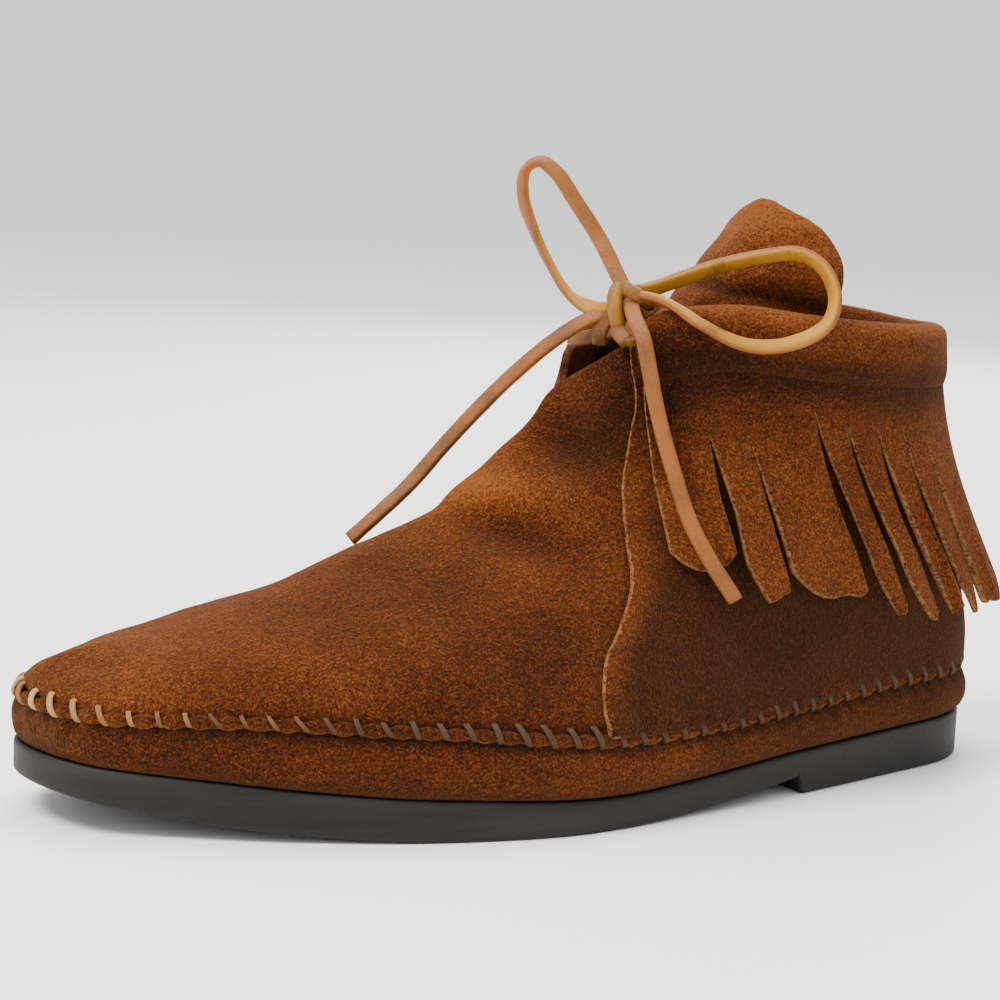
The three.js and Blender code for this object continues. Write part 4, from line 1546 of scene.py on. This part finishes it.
@dataclass
class Seam:
    """Whipped seam between wrap and vamp: a pinched bead of leather with thread over it."""

    last: Last
    upper: Upper
    bead: float = 0.00125
    thread: float = 0.00034
    slant: float = 0.0011
    reach: float = 0.0021
    raised: float = 0.0008
    around: int = 972
    sides: int = 12
    rows: int = 11
    ply_sides: int = 8

    def line(self, step: Array) -> tuple[Array, Array, Array]:
        """Middle of the bead with the directions out of the boot and along the seam.

        Args:
            step: loop steps, whole or not.

        Returns:
            Points in the row's frame, and the two unit directions at each.
        """
        last = self.last
        top = last.wrap_point(step, np.ones(step.shape))
        foot = last.side_point(step, np.zeros(step.shape))
        ahead = last.wrap_point(step + 0.1, np.ones(step.shape))
        behind = last.wrap_point(step - 0.1, np.ones(step.shape))
        along = unit(ahead - behind)
        out = unit(np.stack([along[..., 1], -along[..., 0], np.zeros(step.shape)], axis=-1))
        return (top + foot) / 2, out, along

    def build(self, finishes: Finishes) -> None:
        """Bead of an oval section swept round the boot, pinched at each stitch, then the stitches.

        Args:
            finishes: the boot's materials.
        """
        step = np.linspace(0, self.last.steps, self.around, endpoint=False)
        middle, out, along = self.line(step)
        turn = np.linspace(0, TURN, self.sides, endpoint=False)
        size = self.bead * (0.72 + 0.42 * self.upper.gather(step))[:, None, None]
        up = np.cross(along, out)
        wide, high = 0.95 * np.cos(turn)[None, :, None], 1.2 * np.sin(turn)[None, :, None]
        ring = out[:, None] * wide + up[:, None] * high
        points = middle[:, None] + ring * size
        points += soft_noise(points, 0.004, 21)[..., None] * ring * 0.0002
        faces = [block[:, ::-1] for block in tube_faces(len(step), self.sides, True)]
        # Painted shade: darker on the bead's underside, lighter on its top.
        shade = np.broadcast_to(0.35 - 0.3 * np.sin(turn), points.shape[:2])
        bead = mesh_piece("seam_bead", points, faces, {"shade": shade})
        dress(bead, finishes.suede, "suede")
        self.build_stitches(finishes)

    def build_stitches(self, finishes: Finishes) -> None:
        """Each stitch is two plies that arch over the bead, leaning towards the toe at the top.

        Its path is a part of a turn round the bead's middle: out by the cosine and up by the
        sine. The thread is stout at the toe, and thin and dark where the seam lies in shade: the dark is
        partly wear and partly painted shade.

        Args:
            finishes: the boot's materials.
        """
        count = self.upper.stitches()
        fine = np.linspace(0, self.last.steps, 4000)
        run = self.upper.seam_run(fine)
        place = np.interp(np.arange(count) / count * run[-1], run, fine)
        middle, out, along = self.line(place)
        rng = np.random.default_rng(31)
        sway = rng.uniform(-0.45, 0.35, count)
        rows, sides = self.rows, self.ply_sides
        turn = np.linspace(-0.62, 0.62, rows) * math.pi
        side = np.where(np.mod(place, self.last.steps) < self.last.steps / 2, -1.0, 1.0)
        up = np.array([0, 0, 1.0])
        foot = self.last.side_point(place, np.zeros(count))
        climb = unit(self.last.side_point(place, np.full(count, 0.08)) - foot)
        # Back runs from 0 at the toe to 1 at the heel.
        back = 1 - np.abs(np.mod(place, self.last.steps) / self.last.steps * 2 - 1)
        tone = back * 2.8 + 0.5 * hump(back, 0.02) + rng.uniform(-0.12, 0.12, count)
        tone = np.clip(tone, 0, 1)
        stretch = (1.05 - 0.45 * hump(back - 0.26, 0.14)) * rng.uniform(0.85, 1.15, count)
        stout = 1.5 - 0.65 * hump(back - 0.25, 0.16) - 0.3 * ease((back - 0.4) / 0.2)
        pieces, tones = [], []
        for ply in (-0.5, 0.5):
            arc = self.bead * 1.02 * out[:, None] * np.cos(turn)[None, :, None]
            rise = (self.reach * np.sin(turn) + self.raised)[None, :, None] * stretch[:, None, None]
            high = np.maximum(rise, 0) * climb[:, None] + np.minimum(rise, 0) * up
            lean = self.slant * (1 + sway)[:, None] * np.sin(turn)
            lean = lean + ply * self.thread * 1.5 * stout[:, None]
            path = middle[:, None] + arc + high + along[:, None] * (lean * side[:, None])[..., None]
            path = path + out[:, None] * (self.thread * 0.55)
            run_along = unit(np.gradient(path, axis=1))
            first = unit(np.cross(run_along, np.broadcast_to(out[:, None], path.shape) + 1e-6))
            second = np.cross(run_along, first)
            spin = np.linspace(0, TURN, sides, endpoint=False)
            taper = (0.55 + 0.45 * np.cos(turn / 2) ** 0.5)[None, :, None, None]
            cos, sin = np.cos(spin)[:, None], np.sin(spin)[:, None]
            ring = first[:, :, None] * cos + second[:, :, None] * sin
            pieces.append(path[:, :, None] + ring * self.thread * taper * stout[:, None, None, None])
            tones.append(np.broadcast_to(tone[:, None, None], pieces[-1].shape[:3]))
        points = np.concatenate(pieces)
        block = tube_faces(rows, sides, False)
        shift = (np.arange(len(points)) * rows * sides)[:, None, None]
        quads = (np.asarray(block[0])[None] + shift).reshape(-1, 4)
        caps = (np.asarray([block[1][0], block[2][0]])[None] + shift).reshape(-1, sides)
        values = {"tone": np.concatenate(tones)}
        piece = mesh_piece("seam_stitches", points, [quads, caps], values)
        turn_out(piece)
        dress(piece, finishes.thread, "rawhide")


@dataclass
class Quarter:
    """Suede layer lapped over the vamp: raw front edge, round the heel, under the cuff."""

    last: Last
    upper: Upper
    wall: float = 0.0014
    lift: float = 0.0007
    pucker: float = 0.0004
    wide_fold: float = 0.0006
    small_fold: float = 0.0004
    edge_swell: float = 0.0003
    top: float = 0.985
    around: int = 330
    rows: int = 56

    def front(self, rise: Array, inner: bool) -> Array:
        """Step at which each row's x meets the front edge, found on a fine row of steps.

        Args:
            rise: share of the section's run for each row.
            inner: whether the edge is the one on the inner side.

        Returns:
            One loop step for each row.
        """
        last = self.last
        fine = np.linspace(8, 34, 900)
        steps = last.steps - fine if inner else fine
        own = last.own(last.side_point(*np.meshgrid(steps, rise, indexing="ij")))
        edge = last.length * QUARTER_EDGE.read("x", own[..., 2] / last.collar_height)
        ahead = own[..., 0] > edge
        meets = fine[np.clip(ahead.sum(axis=0), 0, len(fine) - 1)]
        return last.steps - meets if inner else meets

    def build(self, finishes: Finishes) -> None:
        """Grid from the outer front edge round the heel to the inner one, with both faces.

        The front edge stands off the vamp in soft waves and folds a little at its foot.

        Args:
            finishes: the boot's materials.
        """
        last = self.last
        rise = np.linspace(0, self.top, self.rows)
        first, final = self.front(rise, False), self.front(rise, True)
        share = np.linspace(0, 1, self.around)
        share = share - 0.24 * np.sin(TURN * share) / TURN
        step = first[None, :] + (final - first)[None, :] * share[:, None]
        grid = last.side_point(step, np.broadcast_to(rise, step.shape))
        normal = grid_normals(grid, False)
        outer_gap, inner_gap = (np.linalg.norm(grid - grid[k], axis=-1) for k in (0, -1))
        edge_gap = np.minimum(outer_gap, inner_gap)
        foot = np.linalg.norm(grid - grid[:, :1], axis=-1)
        wave = lumps(grid, 41, (0.022, 0.6), (0.008, 0.4))
        rise_off = self.lift * hump(edge_gap, 0.005) * (0.6 + wave)
        tuck = (self.upper.gather(step) - 0.6) * hump(foot, 0.003) * self.pucker
        # The front edge's foot is gathered in small folds.
        corner = hump(edge_gap, 0.012) * hump(foot, 0.010)
        fold = self.wide_fold * np.sin(edge_gap / 0.0021) + self.small_fold * np.sin(foot / 0.0016)
        own = last.own(grid)
        lump = soft_noise(grid, 0.028, 43) * 0.0005 - crease_depth(own) * ease(foot / 0.006)
        base = last.gap + np.maximum(rise_off, -last.gap / 2)
        outer = grid + normal * (base + self.wall + tuck + corner * fold + lump)[..., None]
        inner = grid + normal * (base + lump * ease(foot / 0.02))[..., None]
        # Darker under the fringe, back from the front edge: painted shadow of the fringe, and partly the
        # leather's own darker tone.
        fringe_shadow_and_tone = 1.05 * ease((0.088 - grid[..., 2]) / 0.025) * ease(edge_gap / 0.012)
        # Painted shade at the seam and in the folds at the edge's foot, random tone, and painted shadow round
        # the knot.
        shade = 0.5 * hump(foot, 0.002) + 0.5 * corner + fringe_shadow_and_tone + 0.1 * soft_noise(grid, 0.03, 44)
        shade = shade + knot_shadow(own)
        edge = grid_edge(*grid.shape[:2])
        edge[3:-3, 0] = 0
        values = {"edge": edge, "shade": np.clip(shade, -1, 1)}
        piece = slab_piece("quarter_layer", outer, inner, False, self.edge_swell, values)
        dress(piece, finishes.suede, "suede", "quarter")


@dataclass
class Tongue:
    """Broad round-topped tongue that leans back over the opening."""

    last: Last
    wall: float = 0.002
    fold: float = 0.0012
    edge_swell: float = 0.0004
    across: int = 60
    along: int = 96

    def build(self, finishes: Finishes) -> None:
        """Scoop: x falls back by the sweep times (1 - cos), y is the width times the sine.

        Args:
            finishes: the boot's materials.
        """
        last = self.last
        side = np.linspace(-1, 1, self.across)
        at = np.linspace(0, 1, self.along) ** 0.9
        side, at = np.meshgrid(side, at, indexing="ij")
        turn = side * math.pi / 2
        x = last.length * (TONGUE.read("x", at) - TONGUE.read("sweep", at) * (1 - np.cos(turn)))
        brow = np.sqrt(1 - np.clip((at - 0.86) / 0.15, 0, 1) ** 2)
        y = last.ball_width * TONGUE.read("width", np.minimum(at, 0.9)) * brow * np.sin(turn)
        z = last.collar_height * (TONGUE.read("height", at) - TONGUE.read("droop", at) * side**2)
        grid = last.placed(x, y, z)
        normal = grid_normals(grid, False)
        # A fold runs across where the tongue bends back.
        bend = at - 0.6 + 0.05 * side
        fold = self.fold * hump(bend, 0.035)
        lump = lumps(grid, 51, (0.02, 0.0007), (0.008, 0.0002))
        outer = grid + normal * (self.wall / 2 + lump - fold)[..., None]
        inner = grid - normal * (self.wall / 2 - lump)[..., None]
        # Painted shade in the fold and below it, painted light towards the top.
        shade = 0.7 * hump(bend, 0.03) + 0.05 * ease((0.62 - at) / 0.12)
        shade = shade - 0.5 * ease((at - 0.66) / 0.2)
        values = {"edge": 0.6 * grid_edge(*grid.shape[:2]), "shade": np.clip(shade, -1, 1)}
        piece = slab_piece("tongue_leather", outer, inner, False, self.edge_swell, values)
        dress(piece, finishes.suede, "suede", "tongue")


class Tip(Enum):
    """How a strip of the fringe is cut off at its end, as drops of its corners and their bow."""

    ROUND = (0.06, 0.06, 2.2)
    FRONT = (0.16, 0.03, 1.6)
    BACK = (0.02, 0.1, 1.6)
    POINT = (0.13, 0.1, 1.2)
    RAGGED = (0.2, 0.02, 1.1)
    SOFT = (0.1, 0.035, 1.7)

    def short(self, side: Array) -> Array:
        """Share of the length that is missing at a place across, -1 at the front side."""
        front, back, power = self.value
        return np.where(side < 0, front, back) * np.abs(side) ** power


@dataclass(frozen=True)
class Strip:
    """One strip of the fringe, its places as shares of the cuff from outer to inner corner.

    The length is a share of the whole fringe, the lean is how far the tip shifts as a share
    of the cuff, and the lift is how far it stands off, in walls. The slit is the drop where
    the cut before the strip begins, and the gape is that cut's half width at the tips, both
    in millimetres.
    """

    start: float
    end: float
    length: float
    lean: float
    lift: float
    slit: float
    gape: float
    tip: Tip


# Strips of the fringe, from the outer front corner round the heel to the inner one.
STRIPS = [
    Strip(0, 0.056, 0.765, -0.012, 0, 10, -3.6, Tip.FRONT),
    Strip(0.056, 0.104, 0.91, -0.026, 0.5, 24.5, 1.7, Tip.FRONT),
    Strip(0.104, 0.196, 0.93, -0.024, 0.8, 27.5, 0.7, Tip.SOFT),
    Strip(0.196, 0.232, 0.99, -0.016, 0.3, 19, 1.5, Tip.FRONT),
    Strip(0.232, 0.268, 1, -0.01, 0.9, 19.5, 1.1, Tip.FRONT),
    Strip(0.268, 0.304, 0.97, -0.006, 0.4, 21, 1.2, Tip.RAGGED),
    Strip(0.304, 0.346, 0.98, -0.006, 1, 21, 1.0, Tip.POINT),
    Strip(0.346, 0.396, 0.96, -0.01, 0.3, 20.5, 1.0, Tip.ROUND),
    Strip(0.396, 0.442, 0.97, -0.008, 0.8, 19, 0.9, Tip.BACK),
    Strip(0.442, 0.486, 1, -0.004, 0.2, 22, 0.7, Tip.FRONT),
    Strip(0.486, 0.53, 0.95, 0, 0.7, 24, 0.5, Tip.ROUND),
    Strip(0.53, 0.58, 0.93, 0.004, 0.2, 20, 0.8, Tip.BACK),
    Strip(0.58, 0.63, 0.96, 0.006, 0.9, 22.5, 0.5, Tip.ROUND),
    Strip(0.63, 0.69, 0.95, 0.008, 0.4, 26, 0.7, Tip.POINT),
    Strip(0.69, 0.75, 0.98, 0.01, 0.8, 21, 0.6, Tip.FRONT),
    Strip(0.75, 0.81, 1, 0.012, 0.3, 24, 0.7, Tip.ROUND),
    Strip(0.81, 0.88, 0.96, 0.014, 0.7, 20, 0.8, Tip.ROUND),
    Strip(0.88, 0.94, 0.94, 0.008, 0.4, 25, 0.6, Tip.BACK),
    Strip(0.94, 1, 0.86, 0, 0, 22, 0.6, Tip.FRONT),
]


@dataclass
class Collar:
    """Rolled cuff round the opening, and the sheet under it that is cut into the fringe."""

    last: Last
    height: float = 0.0165
    depth: float = 0.0054
    wall: float = 0.0015
    fringe: float = 0.069
    hem: float = 0.0105
    shared: float = 0.03
    first: float = 21
    final: float = 50
    around: int = 300
    sides: int = 72
    sway: float = 0.0012
    curl: float = 0.0014
    flutter: float = 0.0008
    rough: float = 0.02
    upper_rows: int = 14
    lower_rows: int = 36
    across: tuple[float, ...] = (-1, -0.93, -0.75, -0.5, -0.25, 0, 0.25, 0.5, 0.75, 0.93, 1)

    def hang(self, drop: Array) -> Array:
        """Distance of the sheet off the leather, at a drop below the rim."""
        return self.depth * HANG.read("off", drop / self.fringe)

    def build(self, finishes: Finishes) -> None:
        """Roll, then the fringe."""
        self.build_roll(finishes)
        self.build_fringe(finishes)

    def build_roll(self, finishes: Finishes) -> None:
        """Closed profile of the roll, carried round the rim with soft dents and rounded ends.

        Args:
            finishes: the boot's materials.
        """
        last = self.last
        knots = [(out * self.depth, -rise * self.height) for out, rise in CUFF]
        profile = spline(knots, self.sides, closed=True)
        step = np.linspace(self.first, self.final, self.around)
        place = np.broadcast_to(step[:, None], (self.around, self.sides))
        off = np.broadcast_to(profile[:, 0], place.shape)
        drop = np.broadcast_to(profile[:, 1], place.shape)
        inset = np.clip(np.minimum(place - self.first, self.final - place) / 0.9, 0, 1)
        full = 0.8 + 0.2 * np.sqrt(1 - (1 - inset) ** 2)
        off = off * full
        drop = 0.3 * self.height + (drop - 0.3 * self.height) * full
        grid = last.beside_rim(place, drop, off)
        # Dents show on the outside of the roll, and its top rises and falls a little.
        bulge = ease(off / self.depth) * ease((self.height * 0.75 - drop) / self.height * 2)
        dents = lumps(grid, 61, (0.03, 0.0009), (0.011, 0.0004))
        grid = grid + last.out_of_rim(place) * (dents * bulge)[..., None]
        grid[..., 2] += soft_noise(grid * [1, 1, 0], 0.045, 63) * 0.0006
        # Painted shade under the roll and on its inside, painted light on its top, and painted shadow round
        # the knot.
        low = ease((drop - 0.2 * self.height) / (0.45 * self.height)) * (off > 0.4 * self.depth)
        high = ease((0.1 * self.height - drop) / 0.004)
        shade = 1.3 * low + 0.8 * (off < -0.2 * self.depth) - 0.4 * high + knot_shadow(last.own(grid))
        values = {"edge": np.zeros(place.shape), "shade": np.clip(shade, -1, 1)}
        piece = mesh_piece("cuff_roll", grid, tube_faces(self.around, self.sides, False), values)
        turn_out(piece)
        dress(piece, finishes.suede, "suede", "collar_fringe")

    def strip_grid(self, number: int) -> tuple[Array, Array, Array]:
        """Middle surface of one strip, joined to its neighbours above the slits.

        Every sway, curl and gap grows from the slit's own drop, so both sides of a slit meet
        at its top.

        Args:
            number: the strip's place in STRIPS.

        Returns:
            Points and drops, shape (across, down), and how free each point hangs, 0 to 1.
        """
        strip = STRIPS[number]
        after = (STRIPS + [Strip(1, 1, 1, 0, 0, 10, 0, Tip.ROUND)])[number + 1]
        rng = np.random.default_rng(70 + number)
        side = np.array(self.across)[:, None]
        upper = np.linspace(self.hem, self.shared, self.upper_rows)[None, :]
        rough = rng.uniform(-self.rough, self.rough, len(self.across) + 2)
        rough = np.convolve(rough, [0.25, 0.5, 0.25], "valid")[:, None]
        tip = self.fringe * strip.length * (1 - strip.tip.short(side) + rough)
        down = np.linspace(0, 1, self.lower_rows + 1)[None, 1:] ** 0.9
        drop = np.concatenate([upper + 0 * side, self.shared + (tip - self.shared) * down], axis=1)
        mix = (side + 1) / 2
        slit = (strip.slit * (1 - mix) + after.slit * mix) / 1000
        free = np.clip((drop - slit) / (self.fringe * strip.length - slit), 0, 1)
        gape = np.where(side < 0, strip.gape, after.gape) / 1000 / self.rim_length()
        opened = np.clip(free * 2.2, 0, 1) ** 0.8
        wander = self.sway * np.sin(drop * rng.uniform(260, 420) + rng.uniform(0, 6)) * free
        along = strip.start + (strip.end - strip.start) * mix - gape * side * opened
        along = along + (strip.lean + wander) * free**1.2
        curl = self.curl * (side**2 * rng.uniform(-0.3, 1.2) + side * rng.uniform(-1, 1) * 0.8)
        wave = self.flutter * np.sin(free * rng.uniform(3, 6)) * rng.uniform(-1, 1)
        off = self.hang(drop) + self.wall / 2 + strip.lift * free**2 * self.wall + curl * free**1.5
        step = self.first + np.clip(along, -0.03, 1) * (self.final - self.first)
        return self.last.beside_rim(step, drop, off + wave * free), drop, free

    def rim_length(self) -> float:
        """Length of the rim between the front corners."""
        line = self.last.rim(np.linspace(self.first, self.final, self.around))
        return float(np.linalg.norm(np.diff(line, axis=0), axis=1).sum())

    def build_fringe(self, finishes: Finishes) -> None:
        """All strips as one thick sheet, its cut edges marked by the attribute edge.

        Args:
            finishes: the boot's materials.
        """
        grids = [self.strip_grid(number) for number in range(len(STRIPS))]
        wide, tall = grids[0][1].shape
        number = np.arange(len(grids) * wide * tall).reshape(len(grids), wide, tall)
        # Neighbouring strips share their border's points above the slit.
        for k in range(1, len(grids)):
            joined = (grids[k][2][0] <= 0) & (grids[k - 1][2][-1] <= 0)
            number[k, 0, joined] = number[k - 1, -1, joined]
        quads = [number[:, :-1, :-1], number[:, :-1, 1:], number[:, 1:, 1:], number[:, 1:, :-1]]
        faces = np.stack(quads, axis=-1).reshape(-1, 4)
        points = np.concatenate([grid[0].reshape(-1, 3) for grid in grids])
        free = np.stack([grid[2] for grid in grids])
        drop = np.stack([grid[1] for grid in grids])
        edge = np.zeros(free.shape)
        edge[:, [0, -1]] = free[:, [0, -1]] > 0
        edge[:, :, -1] = 1
        normal = sheet_normals(points, faces)
        # Painted shade in the groove under the roll, random tone, and painted shadow round the knot.
        dark = 0.15 * soft_noise(points, 0.02, 71) + knot_shadow(self.last.own(points))
        shade = 1.3 * hump(drop - self.hem, 0.006) - 0.1 + dark.reshape(drop.shape)
        values = {"edge": edge, "shade": np.clip(shade, -1, 1)}
        half = normal * self.wall / 2
        piece = thick_piece("fringe_strips", points + half, points - half, faces, 0.00015, values)
        dress(piece, finishes.suede, "suede", "collar_fringe")


@dataclass(frozen=True)
class Strand:
    """One run of the thong: its route in own millimetres and how its grain side turns.

    The shade is painted shade on its surface, where it lies in shadow, 0 for none.
    """

    name: str
    node: str
    route: list[Point]
    faces: list[Point]
    far_end: str
    shade: float = 0.0


# Loops and ends of the bow, each from the knot outwards.
STRANDS = [
    Strand(
        "thong_loop_outer", "lace_loop_outer",
        [(106.6, 8.4, 118.2), (104.7, 9, 118.6), (96, 8.5, 121), (87.2, 12, 124.7), (78.2, 17.5, 127.6),
         (70.6, 23, 128.8), (66.5, 27, 125.8), (65.8, 31.5, 119.6), (69.1, 34.3, 113.7), (76.6, 35, 109.6),
         (86.2, 33.6, 107.8), (93.8, 32, 109), (101.4, 29, 112.8), (105.2, 21.6, 116.6),
         (107.2, 12.7, 117.2), (107.8, 10.8, 116.8)],
        [(-0.4, -0.8, 0.2), (-0.5, -0.5, 0.7), (-0.9, -0.2, 0.1), (-0.2, -0.45, -0.85), (0.3, 0.85, -0.3)],
        "object",
    ),
    Strand(
        "thong_loop_inner", "lace_loop_inner",
        [(108.6, 7.4, 118.4), (109.2, 6.1, 120.1), (111.6, -1, 129.9), (115.8, -6, 138.5),
         (119.4, -10, 145.3), (122.3, -13, 147.7), (124.9, -15, 145.5), (125.3, -15, 139.3),
         (123.3, -13, 131.8), (120.2, -9.5, 123.4), (117.4, -4.5, 116.8), (114.2, 1, 113.9),
         (111.6, 5.4, 113.8)],
        [(0.5, 0.85, 0.1), (0.3, 0.8, 0.4), (0.5, 0, 1), (0.9, -0.5, 0), (-0.2, -0.9, 0)],
        "object",
    ),
    Strand(
        "thong_end_outer", "lace_end_outer",
        [(107.9, 9.6, 115.8), (110.4, 13.4, 114.7), (112.6, 18.4, 113), (113.2, 23.6, 108.8),
         (112, 24.9, 102), (110.6, 25.8, 95), (109.4, 27.6, 88.1), (108, 31.2, 79.2),
         (105.9, 35.9, 68.3), (102.8, 40.2, 60), (96.5, 42.8, 50.3)],
        [(0.5, 0.85, 0.15), (0.5, 0.85, 0.15)],
        "bare",
    ),
    Strand(
        "thong_end_inner", "lace_end_inner",
        [(108.6, 8, 115.2), (110.8, 5, 114), (113.6, 3.2, 112.4), (117.4, 0.8, 110),
         (123.5, -4, 104.1), (130.7, -10, 95.1), (137.1, -14, 86.8), (143.3, -18, 77.9),
         (149.5, -21, 69.3), (156.2, -23, 62.4), (162.5, -26, 55.5)],
        [(0.6, 0.6, 0.5), (0.5, 0.5, 0.7)],
        "bare",
        # Painted shade: the inner end hangs in shadow on the far side.
        0.45,
    ),
]


@dataclass(frozen=True)
class Wrap:
    """One closed ring of the knot, its place, half height and half depth in own millimetres.

    It runs round its axis, and high points to its top. The flesh is how much of that side
    shows, and the shade is painted shade on its surface, where the knot lies in shadow.
    """

    place: Point
    axis: Point
    high: Point
    tall: float
    deep: float
    flesh: float
    shade: float


# Painted shade on the rings; the second ring is a dark core that fills the knot's shaded hole.
WRAPS = [
    Wrap((109.2, 8.2, 113.2), (-0.42, 0.88, 0.2), (0.2, 0.05, 1), 6.3, 3.9, 0.5, 0.55),
    Wrap((108.2, 8.4, 115.4), (-0.8, 0.5, -0.5), (-0.3, 0.1, 1), 3.6, 2.6, 0, 1.4),
    Wrap((106.9, 9, 117.6), (-0.5, 0.2, 1), (-0.85, 0.5, -0.3), 3.8, 3, 0.3, 0.7),
]


@dataclass
class Thong:
    """Rawhide thong tied in a bow: two loops, two ends, the knot, and the legs out of the cuff."""

    last: Last
    width: float = 0.0037
    thickness: float = 0.0022
    pressed: float = 0.0031
    joints: int = 90
    leg_joints: int = 40
    ring_joints: int = 48
    ring_sides: int = 14
    # Painted shade on the bar and legs, which lie in the shadow under the knot.
    leg_shade: float = 0.8
    bar: list[Point] = field(default_factory=lambda: [
        (113.2, 16.2, 107.4), (113.4, 12.8, 109.2), (111.4, 9.4, 109.7), (110.9, 5.4, 109),
        (112.4, 0.5, 107.2), (113.8, -4.5, 106), (113.4, -8.6, 105.6),
    ])
    legs: list[list[Point]] = field(default_factory=lambda: [
        [(107.4, 10.4, 113.6), (109, 12.4, 111.6), (111, 14.6, 109.4), (112.6, 17, 107.2)],
        [(110.4, 6.6, 114.6), (112.2, 5, 111.6), (113, 3.6, 108.4), (112.2, 2.6, 105.6)],
    ])

    def laid(self, points: list[Point]) -> Array:
        """Points in own millimetres as metres in the row's frame."""
        place = np.array(points, float) / 1000
        return self.last.placed(place[:, 0], place[:, 1], place[:, 2])

    @staticmethod
    def facing(faces: list[Point], count: int) -> Array:
        """Directions read evenly along a row of chosen ones.

        Args:
            faces: the chosen directions.
            count: number of directions returned.

        Returns:
            Directions, shape (count, 3).
        """
        at = np.linspace(0, 1, len(faces))
        fine = np.linspace(0, 1, count)
        columns = np.array(faces, float).T
        return np.stack([smooth_curve(at, column, fine) for column in columns], axis=-1)

    def strap(self, name: str, path: Array, faces: Array, shade: float = 0.0) -> bpy.types.Object:
        """Strap along a path with the side that it shows.

        Args:
            name: the piece's name.
            path: points along its middle.
            faces: direction that its grain side looks in, at each point.
            shade: painted shade on its surface.

        Returns:
            The piece.
        """
        grid, flesh = strap_grid(path, faces, self.width, self.thickness)
        grid = grid + soft_noise(grid, 0.006, 81)[..., None] * 0.00008
        values = {"flesh": flesh, "shade": np.full(flesh.shape, shade)}
        piece = mesh_piece(name, grid, tube_faces(len(path), grid.shape[1], False), values)
        turn_out(piece)
        return piece

    def build(self, finishes: Finishes) -> None:
        """Knot first, then each loop and end as a strap, then the bar and legs.

        Args:
            finishes: the boot's materials.
        """
        knot = self.build_knot(finishes)
        for strand in STRANDS:
            path = spline(self.laid(strand.route).tolist(), self.joints)
            faces = self.facing(strand.faces, self.joints)
            piece = self.strap(strand.name, path, faces, strand.shade)
            dress(piece, finishes.rawhide, "rawhide", strand.node)
        self.build_bar(finishes)

    def build_bar(self, finishes: Finishes) -> None:
        """Drawn-in run of the thong across the throat, and its two legs up to the knot.

        Args:
            finishes: the boot's materials.
        """
        for number, route in enumerate([self.bar, *self.legs]):
            path = spline(self.laid(route).tolist(), self.leg_joints)
            faces = np.broadcast_to([0.6, 0.7, 0.3], path.shape)
            piece = self.strap(f"thong_run_{number}", path, faces, self.leg_shade)
            dress(piece, finishes.rawhide, "rawhide", "lace_bar")

    def build_knot(self, finishes: Finishes) -> bpy.types.Object:
        """Three pressed wraps round the crossing, each a closed ring of the strap.

        A ring's path is an ellipse: up by the cosine and out by the sine.

        Args:
            finishes: the boot's materials.

        Returns:
            The knot's piece.
        """
        turn = np.linspace(0, TURN, self.ring_joints, endpoint=False)[:, None]
        points, flesh, faces, shade = [], [], [], []
        for number, ring in enumerate(WRAPS):
            axis = unit(np.array(ring.axis))
            up = unit(np.array(ring.high) - axis * np.dot(ring.high, axis))
            out = np.cross(axis, up)
            path = np.cos(turn) * up * ring.tall + np.sin(turn) * out * ring.deep
            face = unit(np.cos(turn) * up / ring.tall + np.sin(turn) * out / ring.deep)
            path = self.laid([ring.place]) + path / 1000
            grid, side = strap_grid(path, face, self.width, self.pressed, self.ring_sides, 0.85)
            start = number * side.size
            faces.append(tube_faces(self.ring_joints, self.ring_sides, True)[0] + start)
            points.append(grid.reshape(-1, 3))
            flesh.append(np.clip(side.ravel() * 0.3 + ring.flesh, -1, 1))
            shade.append(np.full(side.size, ring.shade))
        values = {"flesh": np.concatenate(flesh), "shade": np.concatenate(shade)}
        piece = mesh_piece("thong_knot", np.concatenate(points), faces, values)
        turn_out(piece)
        return dress(piece, finishes.rawhide, "rawhide", "lace_knot")


def main() -> None:
    """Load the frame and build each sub-assembly in order."""
    logging.basicConfig(level=logging.INFO, format="%(message)s")
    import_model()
    low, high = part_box("outsole")
    inner_side = float(Last().plan(np.linspace(-math.pi, math.pi, 720))[1].min())
    last = Last(length=high.x - low.x, origin=(-low.x, inner_side - low.y))
    finishes = Finishes(
        suede=SuedeFinish().material(),
        rawhide=RawhideFinish().material(),
        rubber=RubberFinish().material(),
        lining=LiningFinish().material(),
        thread=ThreadFinish().material(),
    )
    studio = Studio(last)
    studio.camera()
    Thong(last).build(finishes)
    upper = Upper(last)
    Sole(last).build(finishes)
    Insole(last).build(finishes)
    upper.build(finishes)
    Seam(last, upper).build(finishes)
    Quarter(last, upper).build(finishes)
    Tongue(last).build(finishes)
    Collar(last).build(finishes)
    studio.lights()
    studio.floor()


if __name__ == "__main__":
    main()
